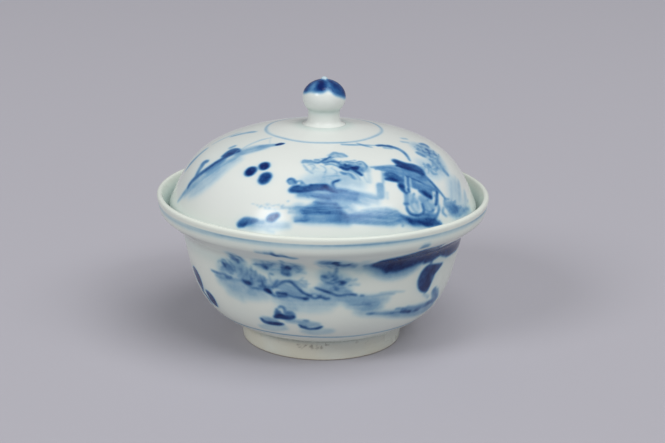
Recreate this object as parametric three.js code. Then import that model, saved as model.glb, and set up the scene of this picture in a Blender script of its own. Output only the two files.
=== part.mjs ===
// Covered bowl in blue-and-white porcelain: a bowl on a turned foot ring with a galleried rim,
// and a domed cover with a bud knob whose edge drops inside the rim and rests on its ledge.
// Millimetres, +Z up. The origin is the centre of the foot's resting face.
// Outlines are drawn as radius and height, and a slope is in degrees above the outward horizontal.
import * as THREE from 'three';

// Foot ring
const FOOT_DIAMETER = 57.8; // outside, where it meets the body
const FOOT_HEIGHT = 7.4;
const FOOT_TAPER = 0.7; // how far the outside draws in towards the table, on the radius
const FOOT_WALL = 4.6; // thickness where it meets the body
const FOOT_INNER_TAPER = 0.9; // how far the inside leans outwards towards the table
const FOOT_BEVEL = 0.5; // wiped edge on each side of the resting face

// Bowl body
const FOOT_STEP = 0.5; // the body overhangs the foot by this much where they meet
const BODY_DIAMETER = 98.4; // outside, at the waist under the ledge
const BODY_HEIGHT = 31.6; // top of the foot to the waist
const BELLY_LEAVES = 20; // slope where the belly leaves the foot
const BELLY_ARRIVES = 78; // slope at the waist
const BODY_WALL = 2.7;
const BASE_WALL = 3.4; // floor thickness on the axis
const FLOOR_SHARE = 0.3; // share of the belly curve taken up by the rounded floor inside

// Galleried rim
const FLARE_RADIUS = 6.0; // hollow curve under the ledge
const LEDGE_SLOPE = 40;
const LEDGE_WIDTH = 8.2; // waist to the foot of the collar, on the radius
const SEAT_CORNER_RADIUS = 0.8; // inside corner between ledge and collar
const COLLAR_SLOPE = 81;
const COLLAR_HEIGHT = 3.6;
const LIP_WALL = 1.9; // the collar thins to this at the lip
const LIP_SHOULDER = 1.4; // how far below its top the collar starts to round over to the lip

// Cover
const COVER_WALL = 2.5;
const COVER_RISE = 27.92; // middle of the rounded edge to the crown
const COVER_PLAY = 1.0; // gap all round between the edge and the collar
const SEAT_GAP = 0.3; // gap between the edge and the ledge
const CROWN_SLOPE = -8; // slope just outside the knob
const EDGE_SLOPE = -67; // slope where the cover meets its rounded edge

// Knob
const KNOB_BASE_DIAMETER = 15.2;
const NECK_DIAMETER = 11.0;
const NECK_FLARE = 3.0; // height of the spreading base
const NECK_HEIGHT = 5.0; // crown to the underside of the bud
const BUD_DIAMETER = 15.0;
const BUD_LOWER = 6.4; // widest level down to the bud's lower pole
const BUD_UPPER = 6.2; // widest level up to the bud's upper pole
const TIP_DIAMETER = 2.6;
const TIP_HEIGHT = 1.0;

// Facets
const TURN_STEPS = 64;
const KNOB_TURN_STEPS = 40;

const rad = THREE.MathUtils.degToRad;
const at = (r, z) => new THREE.Vector2(r, z);
const along = (slope, length) => at(Math.cos(rad(slope)) * length, Math.sin(rad(slope)) * length);
const leftOf = (slope, length) => along(slope + 90, length);

// A smooth curve that leaves one point and arrives at another on given slopes. The pulls are the
// handle lengths as shares of the chord. Every station holds its point and its slope.
function sweep(from, leaves, to, arrives, pullFrom, pullTo, steps) {
  const chord = from.distanceTo(to);
  const curve = new THREE.CubicBezierCurve(
    from,
    from.clone().add(along(leaves, chord * pullFrom)),
    to.clone().sub(along(arrives, chord * pullTo)),
    to,
  );
  return Array.from({ length: steps + 1 }, (_, i) => {
    const tangent = curve.getTangent(i / steps);
    return {
      point: curve.getPoint(i / steps),
      slope: THREE.MathUtils.radToDeg(Math.atan2(tangent.y, tangent.x)),
    };
  });
}

// A round arc that starts at a point on one slope and turns steadily to another.
function bend(from, leaves, arrives, radius, steps) {
  const side = Math.sign(arrives - leaves);
  const centre = from.clone().add(leftOf(leaves, side * radius));
  return Array.from({ length: steps + 1 }, (_, i) => {
    const slope = leaves + ((arrives - leaves) * i) / steps;
    return { point: centre.clone().sub(leftOf(slope, side * radius)), slope };
  });
}

// Stations moved square to the outline: towards its left for a positive distance.
const inset = (stations, distance) =>
  stations.map(({ point, slope }) => ({ point: point.clone().add(leftOf(slope, distance)), slope }));

const points = (stations) => stations.map((s) => s.point);
const last = (list) => list[list.length - 1];

// An outline that goes round its solid counterclockwise, turned about the vertical axis.
function turned(name, outline, material, steps) {
  const clean = outline.filter((p, i) => i === 0 || p.distanceTo(outline[i - 1]) > 0.02);
  const geometry = new THREE.LatheGeometry(clean, steps);
  geometry.rotateX(Math.PI / 2);
  const mesh = new THREE.Mesh(geometry, material);
  mesh.name = name;
  return mesh;
}

// Bowl body, outside: belly, flare, ledge, corner and collar
const footRadius = FOOT_DIAMETER / 2;
const bellyStart = at(footRadius + FOOT_STEP, FOOT_HEIGHT);
const waist = at(BODY_DIAMETER / 2, FOOT_HEIGHT + BODY_HEIGHT);
const belly = sweep(bellyStart, BELLY_LEAVES, waist, BELLY_ARRIVES, 0.445, 0.43, 14);
const flare = bend(waist, BELLY_ARRIVES, LEDGE_SLOPE, FLARE_RADIUS, 4);
const cornerRadius = SEAT_CORNER_RADIUS + BODY_WALL;
const cornerReach = cornerRadius * (Math.sin(rad(COLLAR_SLOPE)) - Math.sin(rad(LEDGE_SLOPE)));
const flareEnd = last(flare).point;
const ledgeReach = waist.x + LEDGE_WIDTH - cornerReach - flareEnd.x;
const cornerStart = flareEnd.clone().add(along(LEDGE_SLOPE, ledgeReach / Math.cos(rad(LEDGE_SLOPE))));
const corner = bend(cornerStart, LEDGE_SLOPE, COLLAR_SLOPE, cornerRadius, 4);
const collarFoot = last(corner).point;
const collarTop = collarFoot.clone().add(along(COLLAR_SLOPE, COLLAR_HEIGHT / Math.sin(rad(COLLAR_SLOPE))));
const lipRound = bend(collarTop, COLLAR_SLOPE, COLLAR_SLOPE + 180, LIP_WALL / 2, 6);
const lipTop = lipRound[3].point;
const shoulder = collarTop.clone().sub(along(COLLAR_SLOPE, LIP_SHOULDER));
const lip = [
  ...sweep(shoulder, COLLAR_SLOPE, lipTop, COLLAR_SLOPE + 90, 0.42, 0.5, 6),
  ...lipRound.slice(4),
];

// Bowl body, inside: the wall's thickness in from the outside, down to a rounded floor
const bellyInside = inset(belly, BODY_WALL);
const floorJoin = bellyInside[Math.round(FLOOR_SHARE * (belly.length - 1))];
const floorCentre = at(0, FOOT_HEIGHT + BASE_WALL);
const floor = sweep(floorCentre, 0, floorJoin.point, floorJoin.slope, 0.55, 0.22, 8);
const inside = [
  ...points(floor),
  ...points(bellyInside.slice(Math.round(FLOOR_SHARE * (belly.length - 1)) + 1)),
  ...points(inset(flare, BODY_WALL)),
  ...points(inset(corner, BODY_WALL)),
];
const bowlOutline = [
  at(0, FOOT_HEIGHT),
  ...points(belly),
  ...points(flare),
  ...points(corner),
  ...points(lip),
  ...inside.reverse(),
];

// Foot ring, round its own section: resting face, outside, joint with the body, inside
const padOuter = footRadius - FOOT_TAPER;
const padInner = footRadius - FOOT_WALL + FOOT_INNER_TAPER;
const footOutline = [
  at(padInner + FOOT_BEVEL, 0),
  at(padOuter - FOOT_BEVEL, 0),
  at(padOuter, FOOT_BEVEL),
  at(footRadius, FOOT_HEIGHT),
  at(footRadius - FOOT_WALL, FOOT_HEIGHT),
  at(padInner, FOOT_BEVEL),
  at(padInner + FOOT_BEVEL, 0),
];

// Cover: its rounded edge is placed from the ledge and the collar it sits in
const ledgeInside = cornerStart.clone().add(leftOf(LEDGE_SLOPE, BODY_WALL));
const collarInside = collarFoot.clone().add(leftOf(COLLAR_SLOPE, BODY_WALL));
const edgeRadius = COVER_WALL / 2;
const edgeR = collarInside.x - COVER_PLAY - edgeRadius;
const ledgeAtEdge = ledgeInside.y + (edgeR - ledgeInside.x) * Math.tan(rad(LEDGE_SLOPE));
const edgeZ = ledgeAtEdge + (edgeRadius + SEAT_GAP) / Math.cos(rad(LEDGE_SLOPE));
const edgeCentre = at(edgeR, edgeZ);
const crownZ = edgeZ + COVER_RISE;
const knobBaseRadius = KNOB_BASE_DIAMETER / 2;
const edgeOutside = edgeCentre.clone().add(leftOf(EDGE_SLOPE, edgeRadius));
const dome = sweep(at(knobBaseRadius, crownZ), CROWN_SLOPE, edgeOutside, EDGE_SLOPE, 0.665, 0.335, 15);
const edge = bend(edgeOutside, EDGE_SLOPE, EDGE_SLOPE - 180, edgeRadius, 6);
const coverOutline = [
  at(0, crownZ),
  ...points(dome),
  ...points(edge),
  ...points(inset(dome, -COVER_WALL)).reverse(),
  at(0, crownZ - COVER_WALL),
].reverse();

// Knob: spreading base, neck, bud in two half-ellipses and a small tip
const neckRadius = NECK_DIAMETER / 2;
const budRadius = BUD_DIAMETER / 2;
const neckFoot = at(knobBaseRadius, crownZ);
const neckFlare = sweep(neckFoot, 180 + CROWN_SLOPE, at(neckRadius, crownZ + NECK_FLARE), 90, 0.5, 0.5, 5);
const budStart = Math.asin(neckRadius / budRadius);
const budCentre = crownZ + NECK_HEIGHT + BUD_LOWER * Math.cos(budStart);
const tipRadius = TIP_DIAMETER / 2;
const budEnd = Math.PI - Math.asin(tipRadius / budRadius);
const bud = Array.from({ length: 15 }, (_, i) => {
  const turn = budStart + ((budEnd - budStart) * i) / 14;
  const half = turn < Math.PI / 2 ? BUD_LOWER : BUD_UPPER;
  return at(budRadius * Math.sin(turn), budCentre - half * Math.cos(turn));
});
const tipFoot = last(bud);
const tip = sweep(tipFoot, 110, at(0, tipFoot.y + TIP_HEIGHT), 180, 0.35, 0.5, 4);
const knobOutline = [at(0, crownZ), ...points(neckFlare), ...bud, ...points(tip)];

// Materials: a bluish-white clear glaze, and the barer, warmer foot
const glaze = (tint) =>
  new THREE.MeshStandardMaterial({ color: tint, roughness: 0.12, metalness: 0 });
const bowlGlaze = glaze(0xd6dcda);
const coverGlaze = glaze(0xd9dfdd);
const knobGlaze = glaze(0x5f7fb4);
const footBody = new THREE.MeshStandardMaterial({ color: 0xcfcbbd, roughness: 0.5, metalness: 0 });

const bowl = new THREE.Group();
bowl.name = 'bowl';
bowl.add(turned('bowl_body', bowlOutline, bowlGlaze, TURN_STEPS));
bowl.add(turned('foot_ring', footOutline, footBody, TURN_STEPS));

const cover = new THREE.Group();
cover.name = 'cover';
cover.add(turned('cover_dome', coverOutline, coverGlaze, TURN_STEPS));
cover.add(turned('cover_knob', knobOutline, knobGlaze, KNOB_TURN_STEPS));

const coveredBowl = new THREE.Group();
coveredBowl.name = 'covered_bowl';
coveredBowl.add(bowl, cover);

export default coveredBowl;
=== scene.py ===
"""Painted porcelain covered bowl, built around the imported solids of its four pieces."""

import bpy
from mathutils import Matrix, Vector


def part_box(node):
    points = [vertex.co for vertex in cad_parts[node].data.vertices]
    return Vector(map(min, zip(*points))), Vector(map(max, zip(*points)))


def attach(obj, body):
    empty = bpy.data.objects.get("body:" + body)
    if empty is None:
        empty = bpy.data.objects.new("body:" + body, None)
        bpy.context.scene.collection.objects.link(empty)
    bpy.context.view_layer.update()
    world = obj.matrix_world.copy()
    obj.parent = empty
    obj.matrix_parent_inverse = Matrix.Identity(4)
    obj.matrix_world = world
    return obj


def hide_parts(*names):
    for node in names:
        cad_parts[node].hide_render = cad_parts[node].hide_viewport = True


bl_info = {
    "name": "Covered bowl",
    "version": (1, 0, 0),
    "blender": (4, 5, 0),
    "location": "3D View > Sidebar > Covered bowl",
    "description": "Porcelain bowl and cover with brush painting under a clear glaze",
    "category": "Object",
}

import bpy
import numpy as np
from mathutils import Vector

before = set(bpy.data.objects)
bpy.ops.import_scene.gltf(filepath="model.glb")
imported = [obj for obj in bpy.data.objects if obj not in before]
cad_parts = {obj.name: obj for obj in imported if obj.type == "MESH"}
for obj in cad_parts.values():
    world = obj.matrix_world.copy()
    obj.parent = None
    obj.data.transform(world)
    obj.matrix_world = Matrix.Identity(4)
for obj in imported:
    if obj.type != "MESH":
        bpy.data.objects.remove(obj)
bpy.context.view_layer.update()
FOOT_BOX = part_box("foot_ring")
KNOB_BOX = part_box("cover_knob")

MM = 0.001

# Columns and rings of the turned surfaces
COLUMNS = 640  # round the painted outsides
HALF_COLUMNS = COLUMNS // 2
QUARTER_COLUMNS = COLUMNS // 4
KNOB_COLUMNS = 144
HALF_KNOB_COLUMNS = KNOB_COLUMNS // 2
GATHER = (0.55, 0.06)  # columns crowd to the front by these shares of the sines of once and twice the turn
FINE = 60  # stations on each curve before it is spaced evenly
EVEN_STATIONS = 40 * FINE  # stations that the even spacing is worked out on
CROWD_FADE = 3.0  # millimetres over which rings crowd together
POLE = 1e-6  # a ring smaller than this is one point on the axis
DOUBLED = 1e-6  # points nearer than this are one
INSIDE_BOX = 0.9997  # smooth turned surfaces stay just inside the faceted solids
TIP_CLEARANCE = 0.000002  # the knob's tip stops this far below the solid's

# Pulls of the swept curves at start and end, as shares of the chord
BELLY_PULLS = (0.445, 0.43)
LIP_PULLS = (0.42, 0.5)
FLOOR_PULLS = (0.55, 0.22)
DOME_PULLS = (0.665, 0.335)
NECK_PULLS = (0.5, 0.5)
TIP_PULLS = (0.35, 0.5)
FOOT_PULLS = (0.4, 0.4)

FLOOR_JOIN = 0.3  # share of the belly at which the inside floor meets the wall
TIP_LEAVES = np.radians(110)  # slope at the foot of the knob's tip

# The painter's measure
PAINT_RADIUS = 50.0  # millimetres: the measure round the bowl is taken at this radius
LAP = 2 * np.pi * PAINT_RADIUS  # once round, in that measure


def length(name, description, default):
    """A length in metres that a user may change."""
    return bpy.props.FloatProperty(
        name=name, description=description, default=default, unit="LENGTH", precision=5
    )


def angle(name, description, degrees):
    """An angle that a user may change."""
    return bpy.props.FloatProperty(
        name=name, description=description, default=np.radians(degrees), subtype="ANGLE"
    )


def watts(name, description, default):
    """A lamp's power that a user may change."""
    return bpy.props.FloatProperty(name=name, description=description, default=default, unit="POWER")


def colour(name, description, red, green, blue):
    """A colour that a user may change, given as it looks on a screen, from 0 to 255."""
    return bpy.props.FloatVectorProperty(
        name=name,
        description=description,
        default=linear(red, green, blue),
        subtype="COLOR",
        size=3,
        min=0.0,
        max=1.0,
    )


def linear(red, green, blue):
    """Screen values from 0 to 255 as linear light from 0 to 1."""
    share = np.array([red, green, blue]) / 255
    light = np.where(share > 0.04045, ((share + 0.055) / 1.055) ** 2.4, share / 12.92)
    return tuple(float(v) for v in light)


class BowlSizes(bpy.types.PropertyGroup):
    """Sizes of the bowl body, its galleried rim and its foot ring."""

    foot_diameter: length("Foot diameter", "Outside, where it meets the body", FOOT_BOX[1].x * 2)
    foot_height: length("Foot height", "Table to the body", FOOT_BOX[1].z)
    foot_taper: length("Foot taper", "How far the outside draws in towards the table", 0.0007)
    foot_wall: length("Foot wall", "Thickness where it meets the body", 0.0046)
    foot_inner_taper: length("Foot inner taper", "How far the inside leans out downwards", 0.0009)
    foot_bevel: length("Foot bevel", "Wiped edge beside the resting face", 0.0005)
    foot_step: length("Foot step", "Overhang of the body where it meets the foot", 0.0005)
    body_diameter: length("Body diameter", "Outside, at the waist", 0.0984)
    body_height: length("Body height", "Top of the foot to the waist", 0.0316)
    belly_leaves: angle("Belly leaves", "Slope at the foot", 20)
    belly_arrives: angle("Belly arrives", "Slope at the waist", 78)
    body_wall: length("Body wall", "Wall thickness", 0.0027)
    base_wall: length("Base wall", "Floor thickness on the axis", 0.0034)
    flare_radius: length("Flare radius", "Hollow curve under the ledge", 0.006)
    ledge_slope: angle("Ledge slope", "Slope of the ledge the cover rests on", 40)
    ledge_width: length("Ledge width", "Waist to the foot of the collar", 0.0082)
    seat_corner: length("Seat corner", "Inside corner between ledge and collar", 0.0008)
    collar_slope: angle("Collar slope", "Slope of the collar", 81)
    collar_height: length("Collar height", "Height of the collar", 0.0036)
    lip_wall: length("Lip wall", "Thickness at the lip", 0.0019)
    lip_shoulder: length("Lip shoulder", "How far down the collar the lip starts to round", 0.0014)


class CoverSizes(bpy.types.PropertyGroup):
    """Sizes of the cover and its bud knob."""

    wall: length("Wall", "Wall thickness", 0.0025)
    rise: length("Rise", "Middle of the rounded edge to the crown", 0.02792)
    play: length("Play", "Gap between the edge and the collar", 0.001)
    seat_gap: length("Seat gap", "Gap between the edge and the ledge", 0.0003)
    crown_slope: angle("Crown slope", "Slope just outside the knob", -8)
    edge_slope: angle("Edge slope", "Slope at the rounded edge", -67)
    knob_base: length("Knob base", "Diameter where the knob spreads on the crown", KNOB_BOX[1].x * 2)
    neck: length("Neck", "Diameter of the neck", 0.011)
    neck_flare: length("Neck flare", "Height of the spreading base", 0.003)
    neck_height: length("Neck height", "Crown to the underside of the bud", 0.005)
    bud: length("Bud", "Diameter of the bud", 0.015)
    bud_lower: length("Bud lower", "Widest level down to the lower pole", 0.0064)
    bud_upper: length("Bud upper", "Widest level up to the upper pole", 0.0062)
    tip: length("Tip", "Diameter of the tip", 0.0026)
    tip_height: length("Tip height", "Height of the tip", 0.001)


class GlazeColours(bpy.types.PropertyGroup):
    """Colours of the glaze, the painting and the bare body."""

    bowl: colour("Bowl glaze", "Clear glaze over the white body of the bowl", 228, 233, 223)
    cover: colour("Cover glaze", "Clear glaze over the white body of the cover", 226, 230, 225)
    # The pooled colour is thick glaze and also painted shade: in the gallery, under the ledge, above the
    # foot, at the cover's edge and under the knob's bud
    pooled_glaze_and_shade: colour("Pooled glaze", "Thick glaze in hollows", 190, 208, 203)
    bare: colour("Bare body", "Fired body where the glaze is wiped off", 196, 180, 158)
    foot: colour("Foot", "Thin glaze over the foot", 226, 224, 206)
    # The rust colour also paints the contact shadow along the foot's resting edge
    rust: colour("Rust", "Iron specks and burnt edges", 98, 82, 58)


class StageSettings(bpy.types.PropertyGroup):
    """Camera, lamps and floor."""

    camera_place: bpy.props.FloatVectorProperty(
        name="Camera place",
        description="Where the camera stands",
        default=(0.00347, -0.4847, 0.1878),
        subtype="TRANSLATION",
        unit="LENGTH",
    )
    camera_pitch: angle("Camera pitch", "How far the camera looks down", 16.807)
    camera_roll: angle("Camera roll", "How far the camera leans to its left", 0.8)
    camera_lens: bpy.props.FloatProperty(
        name="Lens", description="Focal length on a 36 mm frame", default=77.55, unit="CAMERA"
    )
    floor: colour("Floor", "Plain pale floor", 184, 182, 190)
    floor_size: length("Floor size", "Side of the floor", 6.0)
    lamp_distance: length("Lamp distance", "Bowl to each lamp", 6.0)
    left_width: length("Left lamp width", "Breadth of the left soft box", 2.3)
    left_height: length("Left lamp height", "Height of the left soft box", 1.8)
    right_width: length("Right lamp width", "Breadth of the right soft box", 4.0)
    right_height: length("Right lamp height", "Height of the right soft box", 1.6)
    left_power: watts("Left power", "Left lamp, watts", 114.0)
    right_power: watts("Right power", "Right lamp, watts", 80.0)
    top_distance: length("Top lamp distance", "Bowl to the lamp above it", 6.0)
    top_size: length("Top lamp size", "Side of the soft box above", 4.5)
    top_power: watts("Top power", "Lamp above, watts", 150.0)
    sky: bpy.props.FloatProperty(
        name="Fill", description="Soft light from all round", default=0.29, min=0.0
    )


# Soft steps


def eased(share):
    """Smooth step from 0 to 1."""
    share = np.clip(share, 0, 1)
    return share * share * (3 - 2 * share)


def rising(values, start, reach):
    """Smooth step up from 0 at start to 1 a reach later."""
    return eased((values - start) / reach)


def falling(values, end, reach):
    """Smooth step down from 1 to 0 at end, over a reach."""
    return eased((end - values) / reach)


def bell(values, height, middle, reach):
    """A bell of a height about a middle, fallen to about a third at reach."""
    return height * np.exp(-(((values - middle) / reach) ** 2))


# Outlines: radius and height in metres, with the slope at every station


def heading(slope):
    """Unit step along a slope."""
    return np.stack([np.cos(slope), np.sin(slope)], -1)


def left_of(slope):
    """Unit step square to a slope, to its left."""
    return np.stack([-np.sin(slope), np.cos(slope)], -1)


def sweep(start, leaves, end, arrives, pulls, count):
    """Cubic curve that leaves start and arrives at end on given slopes; pulls are shares of the chord."""
    chord = np.hypot(*(end - start))
    a, b = start, start + heading(leaves) * chord * pulls[0]
    c, d = end - heading(arrives) * chord * pulls[1], end
    t = np.linspace(0, 1, count)[:, None]
    points = (1 - t) ** 3 * a + 3 * (1 - t) ** 2 * t * b + 3 * (1 - t) * t**2 * c + t**3 * d
    along = (1 - t) ** 2 * (b - a) + 2 * (1 - t) * t * (c - b) + t**2 * (d - c)
    return points, np.arctan2(along[:, 1], along[:, 0])


def bend(start, leaves, arrives, radius, count):
    """Round arc that starts on one slope and turns steadily to another."""
    slope = np.linspace(leaves, arrives, count)
    side = np.sign(arrives - leaves)
    centre = start + side * radius * left_of(leaves)
    return centre - side * radius * left_of(slope), slope


def inset(curve, distance):
    """A curve moved square to itself, to its left by distance."""
    points, slope = curve
    return points + left_of(slope) * distance, slope


def chained(*curves):
    """Curves end to end as one list of points, with doubled points dropped."""
    points = np.concatenate([curve[0] if isinstance(curve, tuple) else curve for curve in curves])
    keep = np.r_[True, np.hypot(*np.diff(points, axis=0).T) > DOUBLED]
    return points[keep]


def travelled(points):
    """Length along a line of points, from 0 at its first."""
    return np.r_[0, np.cumsum(np.hypot(*np.diff(points, axis=0).T))]


def evened(points, count, crowd=None):
    """The same line as evenly spaced points, or closer by a factor between two lengths in millimetres."""
    run = travelled(points)
    fine = np.linspace(0, run[-1], EVEN_STATIONS)
    density = np.ones(len(fine))
    if crowd:
        low, high, times = crowd
        enters = eased((fine / MM - low) / CROWD_FADE + 0.5)
        leaves = eased((high - fine / MM) / CROWD_FADE + 0.5)
        density += (times - 1) * enters * leaves
    share = np.r_[0, np.cumsum(density[1:] + density[:-1])]
    at = np.interp(np.linspace(0, share[-1], count), share, fine)
    return np.stack([np.interp(at, run, points[:, 0]), np.interp(at, run, points[:, 1])], -1)


def bowl_curves(s):
    """Curves of the bowl's outside, lip, inside and floor, from the foot up and back down to the axis."""
    start = np.array([s.foot_diameter / 2 + s.foot_step, s.foot_height])
    waist = np.array([s.body_diameter / 2, s.foot_height + s.body_height])
    belly = sweep(start, s.belly_leaves, waist, s.belly_arrives, BELLY_PULLS, FINE)
    flare = bend(waist, s.belly_arrives, s.ledge_slope, s.flare_radius, FINE)
    radius = s.seat_corner + s.body_wall
    reach = radius * (np.sin(s.collar_slope) - np.sin(s.ledge_slope))
    flare_end = flare[0][-1]
    ledge_reach = waist[0] + s.ledge_width - reach - flare_end[0]
    corner_start = flare_end + heading(s.ledge_slope) * ledge_reach / np.cos(s.ledge_slope)
    corner = bend(corner_start, s.ledge_slope, s.collar_slope, radius, FINE)
    collar_foot = corner[0][-1]
    collar_top = collar_foot + heading(s.collar_slope) * s.collar_height / np.sin(s.collar_slope)
    half_lip = bend(collar_top, s.collar_slope, s.collar_slope + np.pi, s.lip_wall / 2, FINE)[0]
    lip_top, lip_inside = half_lip[FINE // 2], half_lip[FINE // 2 :]
    shoulder = collar_top - heading(s.collar_slope) * s.lip_shoulder
    square = s.collar_slope + np.pi / 2
    lip = chained(sweep(shoulder, s.collar_slope, lip_top, square, LIP_PULLS, FINE), lip_inside)
    inner_belly, inner_slope = inset(belly, s.body_wall)
    join = int(FLOOR_JOIN * FINE)
    floor_centre = np.array([0, s.foot_height + s.base_wall])
    floor = sweep(floor_centre, 0.0, inner_belly[join], inner_slope[join], FLOOR_PULLS, FINE)
    outside = chained(belly, flare, corner)
    inside = chained(floor, inner_belly[join:], inset(flare, s.body_wall), inset(corner, s.body_wall))
    ledge = corner_start + left_of(s.ledge_slope) * s.body_wall
    collar_inside = collar_foot + left_of(s.collar_slope) * s.body_wall
    return {
        "outside": chained(outside, shoulder[None]),
        "lip": lip,
        "inside": inside[::-1],
        "start": start,
        "ledge": ledge,
        "collar_inside": collar_inside,
    }


def cover_curves(s, bowl):
    """Curves of the cover: dome outside from edge to crown, rounded edge, and inside from crown to edge."""
    marks = bowl_curves(bowl)
    ledge, collar = marks["ledge"], marks["collar_inside"]
    half = s.wall / 2
    edge_r = collar[0] - s.play - half
    seat = ledge[1] + (edge_r - ledge[0]) * np.tan(bowl.ledge_slope)
    edge = np.array([edge_r, seat + (half + s.seat_gap) / np.cos(bowl.ledge_slope)])
    crown = edge[1] + s.rise
    outer = edge + left_of(s.edge_slope) * half
    knob_edge = np.array([s.knob_base / 2, crown])
    dome = sweep(knob_edge, s.crown_slope, outer, s.edge_slope, DOME_PULLS, FINE)
    rounded = bend(outer, s.edge_slope, s.edge_slope - np.pi, half, FINE)
    widest = int(np.argmax(rounded[0][:, 0]))
    inner = inset(dome, -s.wall)[0]
    return {
        "dome": chained(dome, rounded[0][: widest + 1])[::-1],
        "edge": rounded[0][widest:][::-1],
        "inside": np.concatenate([[[0, crown - s.wall]], inner]),
        "crown": crown,
    }


def knob_curve(s, crown):
    """Outline of the knob: spreading base, neck, a bud of two half-ellipses and a small tip."""
    base = np.array([s.knob_base / 2, crown])
    neck_top = np.array([s.neck / 2, crown + s.neck_flare])
    flare = sweep(base, np.pi + s.crown_slope, neck_top, np.pi / 2, NECK_PULLS, FINE)
    begin = np.arcsin(s.neck / s.bud)
    middle = crown + s.neck_height + s.bud_lower * np.cos(begin)
    turn = np.linspace(begin, np.pi - np.arcsin(s.tip / s.bud), 2 * FINE)
    half = np.where(turn < np.pi / 2, s.bud_lower, s.bud_upper)
    bud = np.stack([s.bud / 2 * np.sin(turn), middle - half * np.cos(turn)], -1)
    peak = np.array([0, bud[-1, 1] + s.tip_height - TIP_CLEARANCE])
    tip = sweep(bud[-1], TIP_LEAVES, peak, np.pi, TIP_PULLS, FINE // 3)
    return flare[0], bud, tip[0]


# Turned surfaces

# Faces of one step between two rings: a corner is its ring, 0 low or 1 high, and its share of the step
EVEN_STEP = (((0, 0), (0, 1), (1, 1), (1, 0)),)
POLE_BELOW = (((0, 0.5), (1, 1), (1, 0)),)
POLE_ABOVE = (((0, 0), (0, 1), (1, 0.5)),)
TWICE_BELOW = (
    ((0, 0), (0, 0.5), (1, 0)),
    ((0, 0.5), (1, 1), (1, 0)),
    ((0, 0.5), (0, 1), (1, 1)),
)
TWICE_ABOVE = (
    ((0, 0), (1, 0.5), (1, 0)),
    ((0, 0), (0, 1), (1, 0.5)),
    ((0, 1), (1, 1), (1, 0.5)),
)


def step_faces(low, high):
    """Faces of one step between rings of low and high columns."""
    if low == high:
        return EVEN_STEP
    if low == 1:
        return POLE_BELOW
    if high == 1:
        return POLE_ABOVE
    if low == 2 * high:
        return TWICE_BELOW
    if high == 2 * low:
        return TWICE_ABOVE
    raise ValueError(f"rings of {low} and {high} columns don't join")


def strip(low, high, low_start, high_start):
    """Faces between two rings of low and high columns: corner numbers, shares of a turn, and rings."""
    columns, starts = (low, high), (low_start, high_start)
    steps = max(low, high) if 1 in columns else min(low, high)
    k = np.arange(steps)
    for face in step_faces(low, high):
        sides = [side for side, _ in face]
        place = np.stack([k + share for _, share in face], -1) / steps
        on_ring = np.rint(place * np.take(columns, sides)).astype(int) % np.take(columns, sides)
        yield np.take(starts, sides) + on_ring, place, sides


def turned(name, stretches, closed=False):
    """A surface turned about +Z: x = r sin(turn), y = -r cos(turn), with the outline's height as z.

    Each stretch is an outline piece, its columns and its share of the texture map. Where one ring has twice
    the columns of the next they are stitched with triangles, and a ring on the axis is one point.
    Columns crowd towards the front by the sines of once and twice the even turn, as GATHER says.
    Returns the object with each vertex's turn, outline length in millimetres, radius and ring's columns.
    """
    outline, columns, weight = [], [], []
    for points, count, share in stretches:
        skip = 1 if outline and np.hypot(*(points[0] - outline[-1][-1])) < DOUBLED else 0
        outline.append(points[skip:])
        columns += [count] * (len(points) - skip)
        weight += [share] * (len(points) - skip)
    outline = np.concatenate(outline)
    columns = np.where(outline[:, 0] < POLE, 1, columns)
    starts = np.r_[0, np.cumsum(columns)]
    run = travelled(outline)
    map_run = np.r_[0, np.cumsum(np.diff(run) * np.array(weight)[1:])]
    map_run = map_run / map_run[-1]
    ring = np.repeat(np.arange(len(outline)), columns)
    step = np.arange(starts[-1]) - starts[ring]
    even = -np.pi + 2 * np.pi * step / columns[ring]
    turn = even - GATHER[0] * np.sin(even) + GATHER[1] * np.sin(2 * even)
    radius = np.where(columns[ring] == 1, 0.0, outline[ring, 0]) * INSIDE_BOX
    places = np.stack([radius * np.sin(turn), -radius * np.cos(turn), outline[ring, 1]], -1)
    faces, maps = [], []
    pairs = list(zip(range(len(outline) - 1), range(1, len(outline))))
    if closed:
        pairs.append((len(outline) - 1, 0))
    for low, high in pairs:
        for corners, turns, sides in strip(columns[low], columns[high], starts[low], starts[high]):
            faces += corners.tolist()
            up = 1.0 if closed and high == 0 else map_run[high]
            rise = np.where(np.array(sides) == 1, up, map_run[low])
            maps.append(np.stack([turns, np.broadcast_to(rise, turns.shape)], -1).reshape(-1, 2))
    mesh = bpy.data.meshes.new(name)
    mesh.from_pydata(places.tolist(), [], faces)
    layer = mesh.uv_layers.new(name="OFBake")
    layer.uv.foreach_set("vector", np.concatenate(maps).astype(np.float32).ravel())
    mesh.polygons.foreach_set("use_smooth", np.ones(len(faces), bool))
    mesh.update()
    piece = bpy.data.objects.new(name, mesh)
    bpy.context.scene.collection.objects.link(piece)
    return piece, turn, run[ring] / MM, radius, columns[ring]


def heights(piece):
    """Height of every vertex, in millimetres."""
    places = np.empty(3 * len(piece.data.vertices), np.float32)
    piece.data.vertices.foreach_get("co", places)
    return places[2::3].astype(float) / MM


def store(piece, **marks):
    """Keeps numbers on the vertices under names that the material reads; one number may do for all."""
    for name, values in marks.items():
        column = np.zeros(len(piece.data.vertices), np.float32) + np.asarray(values, np.float32)
        mark = piece.data.attributes.new(name, "FLOAT", "POINT")
        mark.data.foreach_set("value", column)


# Brush painting

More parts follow.
